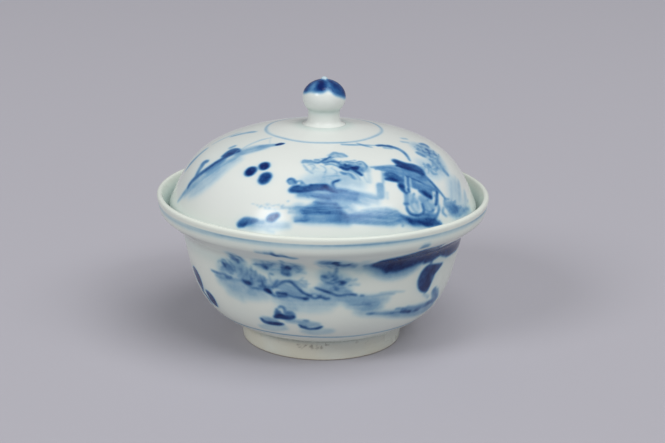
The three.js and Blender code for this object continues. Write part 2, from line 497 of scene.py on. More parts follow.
LAYER = 0.35  # share of the paler of two layers of ink that shows through the darker
STATION = 0.3  # millimetres between the stations of a stroke
LEAST_HALF = 0.12  # millimetres: half the width of the finest stroke
LEAST_STRETCH = 0.2  # near the axis the measure round is drawn out no further than this
SOFT_EDGE = 0.45  # millimetres over which the edge of a plain stroke fades
HAIR_BEATS = (1.7, 2.9, 4.7, 7.9)  # waves that the brush's hairs leave across a stroke
HAIR_DRIFT = 0.25  # most that a wave slips sideways along the stroke
HAIR_SPREAD = 5.0  # sum of the waves that goes from no streak to a full one
STROKE_HAIRS = 1.1  # scale of the waves across a stroke
WASH_HAIRS = 1.3  # scale of the waves across a wash
LOAD_CHANGE = 0.1  # how much the load of ink comes and goes along a stroke
LOAD_BEATS = (0.5, 1.1)  # how fast it does, least and most
ANY_PHASE = 6.0  # most that a slow wave is shifted
DAB_SCATTER = 0.5  # share of a clump's spread that is usual for a touch, and usual turn in radians
DAB_REACH = (0.7, 1.5)  # half the length of a touch, as shares of its size, least and most
DAB_WIDTH = (0.45, 0.8)
DAB_TONE = (0.6, 1.1)
DAB_ENDS = (0.6, 0.5)  # shares of its width that a touch has at its start and end
SWAY_BEATS = (1, 3, 7)  # waves of a turned line in once round
LINE_LOAD = (0.85, 0.15)  # tone of a turned line, and how much it comes and goes
LINE_BEATS = (2, 5)  # slow and quick waves of that in once round


def trail(points):
    """Closely spaced stations on a smooth curve through the points (Catmull-Rom), widths included."""
    points = np.atleast_2d(np.array(points, float))
    if len(points) == 1:
        return points
    span = np.hypot(*np.diff(points[:, :2], axis=0).T).sum()
    at = np.linspace(0, len(points) - 1, max(3, int(span / STATION)))
    i = np.minimum(at.astype(int), len(points) - 2)
    t = (at - i)[:, None]
    top = len(points) - 1
    a, b = points[np.maximum(i - 1, 0)], points[i]
    c, d = points[i + 1], points[np.minimum(i + 2, top)]
    return 0.5 * (
        2 * b + (c - a) * t + (2 * a - 5 * b + 4 * c - d) * t**2 + (3 * b - a - 3 * c + d) * t**3
    )


def blurred(sheet, up, along):
    """A sheet of rows and columns under a bell-shaped blur of given widths; the columns go round."""
    for axis, width in ((0, up), (1, along)):
        reach = int(np.ceil(3 * width))
        steps = np.arange(-reach, reach + 1)
        weights = np.exp(-0.5 * (steps / width) ** 2)
        weights /= weights.sum()
        ends = [(0, 0), (0, 0)]
        ends[axis] = (reach, reach)
        padded = np.pad(sheet, ends, mode="edge" if axis == 0 else "wrap")
        places = np.arange(sheet.shape[axis]) + reach
        sheet = sum(w * np.take(padded, places + k, axis) for k, w in zip(steps, weights))
    return sheet


class Brushwork:
    """Ink on a turned surface, from 0 to 1 at every vertex, laid stroke by stroke.

    A place is millimetres round, measured at PAINT_RADIUS from the front and rightwards, and
    millimetres up the outline from its lower end.
    """

    def __init__(self, turn, up, radius, columns, seed):
        self.round = turn * PAINT_RADIUS
        self.up = up
        self.stretch = radius / MM / PAINT_RADIUS
        self.columns = columns
        self.ink = np.zeros(len(turn))
        self.chance = np.random.default_rng(seed)
        self.place()

    def place(self, shift=0.0, lift=0.0, flip=1.0):
        """Moves the strokes that follow round and up, or mirrors them."""
        self.shift, self.lift, self.flip = shift, lift, flip

    def near(self, low, high, margin):
        """Vertices in a box of places, allowing for the seam."""
        middle, half = (low[0] + high[0]) / 2, (high[0] - low[0]) / 2
        away = np.abs((self.round - middle + LAP / 2) % LAP - LAP / 2)
        wide = margin / np.maximum(self.stretch, LEAST_STRETCH)
        tall = (self.up > low[1] - margin) & (self.up < high[1] + margin)
        return np.flatnonzero((away < half + wide) & tall)

    def hairs(self, across, along):
        """Brush-hair streaks from 0 to 1: waves across the stroke that drift slowly along it."""
        total = np.zeros(len(across))
        for beat in HAIR_BEATS:
            phase = self.chance.uniform(0, 2 * np.pi)
            drift = self.chance.uniform(-HAIR_DRIFT, HAIR_DRIFT)
            total += np.sin(across * beat + along * drift + phase)
        return eased(0.5 + total / HAIR_SPREAD)

    def add(self, at, ink):
        """Lays ink over what is there: the darker shows and the paler adds a little.

        Ink of less than none takes that share of what is there away.
        """
        under = self.ink[at] * (1 + np.clip(ink, -1, 0))
        over = np.clip(ink, 0, 1)
        dark, pale = np.maximum(under, over), np.minimum(under, over)
        self.ink[at] = dark + LAYER * pale * (1 - dark)

    def brush(self, points, tone, soft=SOFT_EDGE, streak=0.0):
        """One stroke through (round, up, width) points.

        Ink is the tone times a smooth step of half the width minus the distance to the path, times streaks
        across the stroke and a slow change of load along it.
        """
        path = trail(points)
        path[:, 0] = self.shift + self.flip * path[:, 0]
        path[:, 1] += self.lift
        half = np.maximum(path[:, 2] / 2, LEAST_HALF)
        at = self.near(path[:, :2].min(0), path[:, :2].max(0), half.max() + soft)
        over = (self.round[at, None] - path[:, 0] + LAP / 2) % LAP - LAP / 2
        over = over * self.stretch[at, None]
        rise = self.up[at, None] - path[:, 1]
        depth = half - np.hypot(over, rise)
        best = depth.argmax(1)
        rows = np.arange(len(at))
        cover = eased(depth[rows, best] / soft + 0.5)
        along = best * STATION
        beat, phase = self.chance.uniform(*LOAD_BEATS), self.chance.uniform(0, ANY_PHASE)
        load = 1 + LOAD_CHANGE * np.sin(along * beat + phase)
        ink = tone * load * cover
        if streak:
            step = np.gradient(path[:, :2], axis=0) if len(path) > 1 else np.array([[1.0, 0]])
            step = step / np.maximum(np.hypot(*step.T), DOUBLED)[:, None]
            across = over[rows, best] * -step[best, 1] + rise[rows, best] * step[best, 0]
            ink = ink * (1 - streak * self.hairs(across * STROKE_HAIRS, along))
        self.add(at, ink)

    def dabs(self, middle, spread, count, size, tone, lean=0.0):
        """Short touches of the brush scattered about a middle, leaning by an angle."""
        for _ in range(count):
            x, y = np.array(middle) + self.chance.normal(0, DAB_SCATTER, 2) * spread
            way = lean + self.chance.normal(0, DAB_SCATTER)
            reach = size * self.chance.uniform(*DAB_REACH)
            dx, dy = np.cos(way) * reach, np.sin(way) * reach
            wide = size * self.chance.uniform(*DAB_WIDTH)
            dark = tone * self.chance.uniform(*DAB_TONE)
            start = (x - dx, y - dy, wide * DAB_ENDS[0])
            end = (x + dx, y + dy, wide * DAB_ENDS[1])
            self.brush([start, (x, y, wide), end], dark)

    def wash(self, tone, soft, streak, top, bottom):
        """A wash between an upper and a lower edge of (round, up) points, streaked along its length."""
        top, bottom = np.array(top, float), np.array(bottom, float)
        ends = np.concatenate([top, bottom])
        low, high = ends.min(0), ends.max(0)
        left, right = np.sort(self.shift + self.flip * np.array([low[0], high[0]]))
        at = self.near((left, low[1] + self.lift), (right, high[1] + self.lift), soft)
        x = self.flip * ((self.round[at] - self.shift + LAP / 2) % LAP - LAP / 2)
        y = self.up[at] - self.lift
        roof = np.interp(x, top[:, 0], top[:, 1])
        base = np.interp(x, bottom[:, 0], bottom[:, 1])
        side = np.minimum(x - low[0], high[0] - x) * self.stretch[at]
        depth = np.minimum(np.minimum(roof - y, y - base), side + soft)
        ink = tone * eased(depth / soft + 0.5)
        across = (y - base) * WASH_HAIRS
        self.add(at, ink * (1 - streak * self.hairs(across, x)))

    def strokes(self, table):
        """Every stroke of a table."""
        for tone, soft, streak, *points in table:
            self.brush(points, tone, soft, streak)

    def leaves(self, table):
        """Every clump of leaves in a table."""
        for x, y, wide, tall, *rest in table:
            self.dabs((x, y), (wide, tall), *rest)

    def washes(self, table):
        """Every wash of a table."""
        for row in table:
            self.wash(*row)

    def bleed(self, narrow, broad, veil):
        """Lets the ink creep into the glaze: a narrow blur, and a share of a broad one laid over it."""
        rows = np.flatnonzero(self.columns == COLUMNS)
        sheet = self.ink[rows].reshape(-1, COLUMNS)
        up = np.median(np.diff(self.up[rows][::COLUMNS]))
        along = LAP / COLUMNS * (1 - GATHER[0]) * self.stretch[rows].mean()
        tight, loose = (blurred(sheet, width / up, width / along) for width in (narrow, broad))
        self.ink[rows] = (1 - (1 - tight) * (1 - veil * loose)).ravel()

    def band(self, up, width, tone, soft=0.4, waver=0.12):
        """A line all the way round at one level, wavering a little as the wheel turns."""
        turn = self.round / PAINT_RADIUS
        phase = self.chance.uniform(0, ANY_PHASE, len(SWAY_BEATS))
        sway = sum(np.sin(turn * beat + start) for beat, start in zip(SWAY_BEATS, phase)) * waver
        steady, change = LINE_LOAD
        slow, quick = LINE_BEATS
        load = steady + change * np.sin(turn * slow + phase[0]) * np.sin(turn * quick + phase[1])
        depth = width / 2 - np.abs(self.up - up - sway)
        self.add(slice(None), tone * load * eased(depth / soft + 0.5))


# Brushes: each call is one stroke, with its tone, its width and its (round, up) points in millimetres
# They were picked in the photo, then carried to the surface, given the nearest
# brush each and rounded, and some were changed after that. A scratch script carried them to the
# surface, chose the nearest brush for each and rounded the points, and some were changed by hand after
# that

NARROW_ENDS = 0.65  # share of its width that a longer stroke has at its two ends

# How far the edge of a stroke fades: so many millimetres and a share of the stroke's width
CRISP = (0.45, 0.22)
WET = (0.75, 0.25)
FADING = (0.0, 0.95)
FIRM = (0.0, 0.5)
LIFTED = (0.3, 0.2)

HAZE_STREAK = 0.3
POOL_STREAK = 0.2


def swelled(width, points):
    """Points with a width each: the stroke's own, and less at the ends of a stroke of three or more."""
    ends = NARROW_ENDS if len(points) > 2 else 1.0
    last = len(points) - 1
    return [(x, y, width * (ends if i in (0, last) else 1.0)) for i, (x, y) in enumerate(points)]


def stroke(tone, edge, streak, width, points):
    """A row that Brushwork.strokes reads: tone, softness, streaks and then (round, up, width) points."""
    least, share = edge
    return (tone, least + share * width, streak, *swelled(width, points))


def line(tone, width, *points):
    """A firm stroke with a crisp edge."""
    return stroke(tone, CRISP, 0.0, width, points)


def soft_line(tone, width, *points):
    """A wetter stroke whose edge creeps into the glaze."""
    return stroke(tone, WET, 0.0, width, points)


def blot(tone, width, *points):
    """A drop of thin ink that fades over its whole width."""
    return stroke(tone, FADING, 0.0, width, points)


def haze(tone, width, *points):
    """A broad pale stroke that fades over its whole width, streaked by the hairs of the brush."""
    return stroke(tone, FADING, HAZE_STREAK, width, points)


def pool(tone, width, *points):
    """A broad stroke of more ink, with a firmer edge and fewer streaks."""
    return stroke(tone, FIRM, POOL_STREAK, width, points)


def gap(tone, width, *points):
    """A line left bare: it takes away the share of the ink that its tone gives."""
    return stroke(-tone, LIFTED, 0.0, width, points)


def shape(tone, soft, *points):
    """A stroke whose width changes: the softness of its edge, then (round, up, width) points."""
    return (tone, soft, 0.0, *points)


def dots(tone, width, *places):
    """Single touches of the brush's tip."""
    return [line(tone, width, place) for place in places]


# Washes: tone, softness, streaks, and then the (round, up) points of the upper and the lower edge
# Leaves: middle round and up, spread round and up, count, size, tone and, for reeds, lean in radians

# A far shore that climbs to the right, with a hut, a leaning branch and pale water below.
SLOPING_SHORE = (
    haze(0.34, 4, (-58, 8.5), (-49.5, 20), (-45, 28.5)),
    haze(0.22, 4.8, (-54, 9.5), (-49.5, 13.5), (-46, 18.5), (-43, 27)),
    line(0.3, 2, (-61.5, 4.5), (-60, 7), (-58.5, 10)),
    line(0.72, 2, (-58.5, 10.5), (-58, 13), (-54, 19.5), (-50.5, 28.5), (-49, 31)),
    line(0.55, 2.4, (-57.5, 15), (-59.5, 19), (-60.5, 20.5), (-59, 21.5)),
    shape(0.66, 0.9, (-53.5, 26.5, 1.9), (-53.5, 29.5, 3.6), (-52.5, 31, 2.4), (-50, 31.5, 1.1)),
    line(0.82, 2.8, (-53.5, 26.5), (-52, 28), (-51.5, 30)),
    line(0.35, 1.8, (-58.2, 30.8), (-58, 32)),
    pool(0.32, 4.8, (-47, 29.5), (-45.5, 32), (-42.5, 35), (-38.5, 37.5)),
    shape(0.3, 0.8, (-41, 37, 2.8), (-37, 39, 2.4), (-33, 40.5, 1.9)),
    shape(0.95, 0.45, (-33.4, 40.4, 1.4), (-32, 41.2, 1.9), (-30.4, 41.8, 1.2)),
    line(0.16, 1.2, (-49.8, 32), (-50.8, 36.8), (-50.4, 40.6), (-47.8, 43.6)),
    line(0.12, 0.4, (-47.8, 43.6), (-38.8, 39.8)),
    soft_line(0.3, 2.2, (-78, 33), (-77.5, 36.5), (-76, 39.5), (-73.5, 41.5)),
    shape(0.34, 1.4, (-72.5, 13.5, 1.6), (-73, 17, 3), (-73.5, 20, 2.4), (-75, 23.5, 1.4)),
    line(0.16, 1.5, (-77, 26), (-80, 31), (-83, 36)),
    shape(0.41, 1.6, (-52.5, 19, 2.8), (-51, 22, 3.2), (-50.5, 24.5, 3)),
)

# Three dark ovals in a triangle.
THREE_STONES = (
    line(0.98, 4, (-31, 23.5), (-31, 24)),
    line(0.94, 3.6, (-26.5, 27), (-27, 27.5)),
    line(0.98, 4.2, (-23, 21.5), (-23, 22.5)),
)

# Two low rocks at the edge with a scatter of grit, on a pale shore.
NEAR_ROCKS = (
    shape(0.62, 1.2, (-26.5, 5, 2.4), (-25, 6, 3), (-23, 6.5, 2.4), (-21, 7, 1.3)),
    line(0.78, 1.5, (-26.8, 4.6), (-25.2, 5), (-24.4, 6)),
    blot(0.31, 1.6, (-22, 6.4), (-18.8, 6.8)),
    line(0.73, 2.8, (-17, 8), (-16, 8.5), (-14.5, 9.5)),
    blot(0.15, 1.4, (-19, 5), (-16.8, 4.4), (-14.8, 4)),
    *dots(0.36, 0.5, (-22, 12), (-21, 11.5), (-20.5, 12), (-19, 11.5), (-18.5, 12.5), (-17.5, 11.5),
        (-14.5, 13), (-13.5, 12.5), (-13, 13), (-11.5, 14.5), (-10.5, 12)),
    haze(0.25, 2.8, (-24.5, 5), (-20.5, 5.5), (-10.5, 6.5)),
)

# A rocky strip with a blue field of water in front of it and a trail of wash to the right.
WATER_BANK_WASHES = (
    (0.66, 2.6, 0.42,
        ((-8.5, 11), (-6.5, 12.5), (-0.5, 15.5), (2.5, 15.5), (5, 15), (9.5, 9)),
        ((-8.5, 11), (-6, 10), (9.5, 9))),
    (0.5, 2.4, 0.42,
        ((6, 9.5), (11, 11), (14.5, 11.5), (22, 11.5), (25.5, 10.5), (28.5, 7.5)),
        ((6, 8.5), (12.5, 7.5), (23, 5.5), (28.5, 6.5))),
)

WATER_BANK = (
    haze(0.3, 2.8, (-9.5, 12), (-7.5, 12.5), (-4.5, 12)),
    shape(0.41, 3.2, (-8, 9, 1.9), (-3, 9, 2.8), (2.5, 9, 2.8), (8, 8.5, 2.8)),
    blot(0.18, 1.1, (13.2, 11.6), (17.2, 11.8), (22.2, 11.4), (25.6, 10.2)),
    haze(0.28, 3.6, (5.5, 14.5), (8, 13.5), (10, 12)),
    shape(0.48, 3.2, (-8, 17, 1.4), (-3.5, 17, 2), (1, 16.5, 2.8), (6, 16.5, 3.2), (11.5, 15.5, 2)),
    haze(0.46, 1.7, (1.2, 18.8), (9, 17.8), (12.6, 17.2)),
    haze(0.23, 2.6, (6, 16), (11, 15), (15.5, 13.5)),
    soft_line(0.25, 0.9, (-13.2, 12.2), (-10.4, 12.4), (-7.6, 12.6)),
    soft_line(0.34, 0.7, (10.6, 10.8), (16.4, 10.2)),
    shape(0.71, 0.7, (-6, 10.8, 0.7), (-4, 11, 0.9), (-1.4, 11.2, 0.6), (1.2, 11.2, 0.7),
        (3.8, 11.6, 0.5), (6.8, 11.4, 0.5)),
    soft_line(0.57, 0.5, (-7, 11.6), (-2.4, 12), (1.8, 12.2)),
    soft_line(0.63, 0.5, (-5, 12.6), (-1.8, 12.8)),
    soft_line(0.57, 0.8, (-8.4, 8), (-6.8, 8.4), (-5, 8.4), (-4.2, 8.8)),
    soft_line(0.51, 1.2, (-5.2, 9.6), (-4.8, 10.4)),
    soft_line(0.53, 0.5, (1.6, 8.6), (3.2, 8.4), (4.4, 8.6)),
    blot(0.48, 1.2, (5.6, 9.6), (7.6, 9.4)),
    soft_line(0.48, 0.6, (6.2, 8.4), (8, 8.4)),
    shape(0.46, 1.7, (-6.2, 17.4, 0.9), (-3.4, 17.6, 1.2), (0.4, 17, 1.6), (4.2, 16.4, 1.6)),
    blot(0.63, 0.7, (-3.6, 16.8), (2.6, 15.8)),
    blot(0.41, 0.9, (-5.8, 17), (-4.8, 16.4)),
    soft_line(0.46, 0.9, (-2.4, 14.6), (-1.6, 14.8)),
    shape(0.74, 1.4, (-11, 18.5, 2), (-9.5, 19, 3), (-7, 19, 2.8), (-4.5, 19.5, 2.8), (-1.5, 20, 2.6),
        (1, 20, 2.8), (3.5, 19.5, 1.5)),
    soft_line(0.87, 1.2, (-10.6, 18.2), (-9.2, 18.2), (-6.2, 18.4)),
    soft_line(0.8, 0.6, (-6.2, 18.4), (-3.2, 18.8), (-0.2, 19)),
    blot(0.89, 0.9, (-10.6, 19.6), (-8.8, 20.2)),
    shape(0.85, 0.7, (-4.4, 20.8, 0.7), (-1.8, 21, 0.8), (1.6, 20.8, 1)),
    line(0.91, 1.1, (0.6, 20.2), (1.6, 20)),
    line(0.69, 1, (-13.4, 22), (-12.8, 22.8), (-11.6, 22.8), (-10.4, 21.8), (-10, 21.2)),
    blot(0.39, 1.4, (-12, 22), (-10.8, 21)),
    line(0.48, 0.6, (-10, 21.6), (-9.2, 22.2)),
    line(0.48, 0.6, (-8, 20.6), (-7.8, 21.8)),
    blot(0.57, 0.7, (-13.2, 21.6), (-12.2, 20.8)),
    blot(0.41, 1, (-8.4, 22.4), (-7.6, 21.6), (-6.4, 20.8)),
    line(0.69, 1.1, (1.8, 19.2), (3.6, 18.6), (5.6, 18)),
    blot(0.52, 1, (3.8, 19.4), (6.2, 19), (9, 18.6)),
    haze(0.39, 2.2, (5.5, 18), (12, 17), (14.5, 16.5)),
    haze(0.23, 3.2, (4.5, 18), (14.5, 15.5), (19, 14)),
    haze(0.23, 1.6, (12, 18.2), (15.6, 17.2), (20.4, 15.6)),
    blot(0.8, 0.9, (6.8, 23), (5.6, 22.6), (4.2, 22), (4, 20.8), (4.8, 19.6)),
    line(0.32, 2.8, (22, 19.5), (21, 16)),
    blot(0.3, 1.1, (26, 25.2), (24.8, 22.6), (23.6, 20.4)),
    soft_line(0.18, 0.7, (23.8, 16.8), (23.2, 14.8)),
    blot(0.14, 1.7, (19.8, 26), (18.4, 21.6)),
    haze(0.42, 3.2, (5, 10), (8, 9.5), (11, 9.5), (14, 9)),
    soft_line(0.4, 0.7, (8, 10.2), (14, 9.6), (20, 8.4), (25, 7.2)),
    soft_line(0.36, 0.6, (10, 8.4), (16, 7.6), (22, 6.4)),
    soft_line(0.5, 0.6, (-7.6, 12.6), (-3.4, 12.8), (5.2, 12.8), (8.4, 12.8)),
    soft_line(0.4, 0.8, (-8.2, 8.4), (0.8, 8.2), (5.6, 8.2), (10.8, 7.8), (18.4, 6.6)),
    haze(0.3, 1.8, (5, 20), (10, 18.5), (14.5, 16.5), (19.5, 15)),
)

# Trees drawn as curling clouds of leaves, pale behind and dark in the knots.
CLOUD_TREES = (
    shape(0.19, 5.4, (-6, 22.5, 3.2), (-2, 23, 6), (3.5, 22.5, 6.4), (9, 22.5, 6), (14, 21, 4)),
    haze(0.13, 5.6, (-3, 27), (3, 26), (8.5, 24)),
    pool(0.46, 3.6, (8.5, 30), (15, 28), (17, 27)),
    haze(0.29, 2, (8, 26.4), (11.2, 25.2), (13.6, 23.2)),
    soft_line(0.29, 2.2, (-9.6, 31.8), (-6, 31.8), (-2.4, 31.6)),
    soft_line(0.33, 2.2, (-0.6, 32.4), (4.4, 32.8), (8.4, 31)),
    soft_line(0.22, 2.8, (4, 36), (8.5, 36.5), (12, 35.5)),
    soft_line(0.22, 3.8, (17.5, 29.5), (19, 27.5)),
    line(0.31, 1.5, (4.2, 36.2), (6.8, 37.8), (9, 37.2), (11.4, 36.8), (13.2, 35.2)),
    blot(0.22, 1.3, (5.2, 34.6), (8, 35.2), (10.6, 34.8)),
    line(0.66, 1, (-0.6, 32.4), (0.8, 33.2), (4.2, 35.2)),
    line(0.35, 1.6, (-9.6, 31.2), (-9.2, 32.4), (-7.6, 32.2), (-6.2, 32.6)),
    line(0.46, 1.1, (-5.6, 32.2), (-2.4, 31.6), (-1.2, 32.2)),
    line(0.4, 1.1, (-3.8, 33.2), (-2.2, 33.2)),
    line(0.55, 1.3, (-0.6, 32), (1.2, 31.6), (2.8, 32)),
    line(0.55, 1.1, (2.8, 32.2), (4.8, 32.4), (6.8, 32), (8, 31.4)),
    line(0.4, 1, (1.2, 30.4), (4.2, 30.8), (7.6, 29.2)),
    soft_line(0.29, 0.8, (-9, 30), (-7.6, 28.6), (-6.4, 27.4)),
    soft_line(0.26, 0.8, (-7, 27.6), (-4.2, 26)),
    soft_line(0.2, 0.8, (-5.6, 29.8), (-4, 28.4), (-4.8, 27.2)),
    line(0.79, 1.8, (8.2, 29.2), (10.6, 28), (12, 28.4)),
    line(0.68, 1.6, (10.6, 30.6), (11.2, 29.6), (13, 29.6)),
    line(0.83, 2.2, (13.2, 28.6), (14.8, 28.2), (16, 28.8)),
    line(0.75, 1.4, (12.8, 27.8), (15.2, 26), (16, 25.2)),
    line(0.92, 1.1, (15.6, 25.6), (16.2, 24.8)),
    blot(0.46, 0.8, (16.4, 31.2), (18.4, 31.6), (19.8, 31.2), (20.4, 29.8), (20.4, 28.4), (19, 27.2)),
    soft_line(0.35, 1.3, (9.6, 31.8), (12.8, 31.8), (15.2, 30.6)),
    line(0.55, 1.2, (8, 26.4), (9, 25.8), (10, 25.6)),
    blot(0.48, 0.9, (11, 26), (12, 25), (12.4, 23.8), (13, 23.2)),
    line(0.34, 0.5, (-7, 30), (-5, 30.5), (-3.5, 29.5), (-4, 28)),
    line(0.32, 0.5, (-1, 30), (1, 29), (1.5, 27), (0.5, 25)),
    line(0.32, 0.5, (4, 28.5), (6, 27), (6, 25)),
    line(0.36, 0.5, (9, 27.5), (12.5, 26.5), (14.5, 24.5), (15, 22.5)),
    line(0.3, 0.5, (17.5, 26.5), (17, 24), (17.5, 21.5)),
)

# An open pavilion: dark ridge, tiled slope, eaves, posts, slanting lattice and a stone platform.
PAVILION_WASHES = (
    (0.5, 0.9, 0.15,
        ((25.5, 28), (31.5, 27.5), (37.5, 24.5), (44, 20)),
        ((24.5, 26.5), (31, 23), (34, 22), (42, 18))),
    (0.42, 0.7, 0.1,
        ((40.5, 20.5), (44, 20), (46.5, 14)),
        ((39.5, 19.5), (46, 13.5))),
    (0.58, 0.8, 0.2,
        ((36, 20), (43, 14)),
        ((34, 17.5), (37.5, 15.5), (41.5, 12))),
)

PAVILION = (
    line(0.34, 1.7, (22.4, 28), (26, 27.4), (31.2, 27.2), (34.2, 26.8)),
    line(0.81, 4, (37, 29), (39, 26), (43, 24), (44, 22.5), (44, 21)),
    line(0.96, 2, (35.4, 26.8), (42.2, 22.6), (44, 20.8)),
    line(0.62, 3.6, (27, 23.5), (29, 23), (32.5, 20.5)),
    line(0.93, 1.8, (25.8, 22), (27.8, 21.6), (30.2, 20.6)),
    shape(0.62, 0.7, (30.5, 21, 2.8), (31.5, 20, 2.8), (32, 19, 2.4)),
    line(0.93, 2.2, (30, 18.6), (30.8, 18.6), (31.6, 18)),
    line(0.77, 1.8, (29.8, 18), (30.8, 16.8), (31.6, 15.8)),
    soft_line(0.52, 2.6, (34, 21.5), (36, 20), (37.5, 19)),
    line(0.52, 0.9, (35.8, 21), (33.6, 18), (32.6, 16)),
    line(0.89, 1, (32.8, 16.8), (32.8, 16)),
    blot(0.37, 0.5, (35.6, 19.4), (33.8, 16.6)),
    shape(0.79, 0.5, (35.6, 21.6, 1), (37.8, 20.2, 1), (44.2, 15, 1), (45.6, 13.2, 1.2)),
    line(0.77, 1, (37.2, 18.6), (40.8, 15.6), (43, 14.4)),
    line(0.54, 0.8, (36.4, 19.8), (40.4, 16.6), (44, 14.2)),
    shape(0.87, 0.6, (37.4, 15.4, 1), (39.6, 14, 2), (41.2, 12.4, 1.7)),
    line(0.87, 0.8, (44.6, 20.8), (45.6, 17), (47, 13.4), (48.4, 10.4)),
    line(0.81, 1.5, (45.4, 13.2), (43.2, 10.4), (42.2, 9.6)),
    line(0.54, 1, (43.4, 9.4), (43.2, 8), (41.8, 6.6), (40, 5.2)),
    line(0.42, 1.7, (31.2, 15.6), (29.8, 12)),
    line(0.67, 1, (29.2, 12.2), (30.4, 12)),
    line(0.77, 1, (29.6, 11.2), (29.6, 10), (30.4, 8.6), (31.6, 8), (33.2, 7.6), (35, 7.8), (36, 8.6),
        (36.2, 9.8), (36.2, 11)),
    line(0.27, 4.4, (33, 14), (33, 11.5), (33, 9.5)),
    soft_line(0.3, 3.2, (36.5, 13), (38.5, 10), (40.5, 9)),
    haze(0.26, 3, (38, 13.5), (41, 11), (43, 8.5)),
    blot(0.62, 0.9, (32.4, 12.2)),
    blot(0.52, 0.9, (34.4, 14.8)),
    blot(0.44, 0.8, (34.2, 12)),
    blot(0.64, 0.9, (39.2, 11.8)),
    line(0.64, 1, (40, 8)),
    line(0.37, 0.5, (33.8, 14.4), (32.8, 12.4)),
    blot(0.62, 0.7, (36.4, 10), (37.2, 8.6), (38.8, 7.8), (40.8, 8.2)),
    soft_line(0.19, 2, (35.8, 12.6), (38.2, 10), (39.8, 9)),
    shape(0.77, 1.5, (26.5, 8.5, 0.8), (28, 7.5, 1.6), (30.5, 6, 2.6), (34, 5.5, 3), (37.5, 4.5, 3),
        (41, 3.5, 1.8)),
    line(0.86, 1.1, (29.6, 6.2), (30.6, 6), (32.2, 5.8)),
    line(0.96, 1.6, (32.6, 5.6), (34.4, 4.8), (35.8, 4), (37.8, 3.6)),
    blot(0.86, 1.3, (37.4, 5.6), (39.6, 5)),
    blot(0.62, 1.8, (35.2, 7.4), (38.2, 6.8), (40.8, 6)),
    line(0.83, 0.7, (37.6, 4), (42, 3)),
    haze(0.31, 2.6, (25, 7), (30, 5.5), (34, 4)),
    blot(0.47, 0.8, (26.4, 5.2)),
    gap(0.8, 0.9, (34.8, 21.6), (33, 19), (31.8, 16.2)),
    line(0.72, 0.7, (35.6, 21), (34, 18.6), (32.8, 16)),
    gap(0.75, 0.9, (36.6, 20.8), (35, 18.4), (33.6, 15.4)),
    gap(0.55, 0.6, (37, 19), (39.4, 16.8), (42.4, 14.4)),
    gap(0.4, 0.6, (37.8, 20.8), (41.2, 17.8), (45.2, 14)),
    gap(0.85, 1, (43.4, 13.8), (42.6, 12), (42, 10.4)),
    gap(0.4, 1.6, (32.8, 11.8), (33, 10.4), (33.6, 9)),
    gap(0.35, 1.2, (38.2, 10.8), (38.6, 9.6), (39, 8.6)),
)

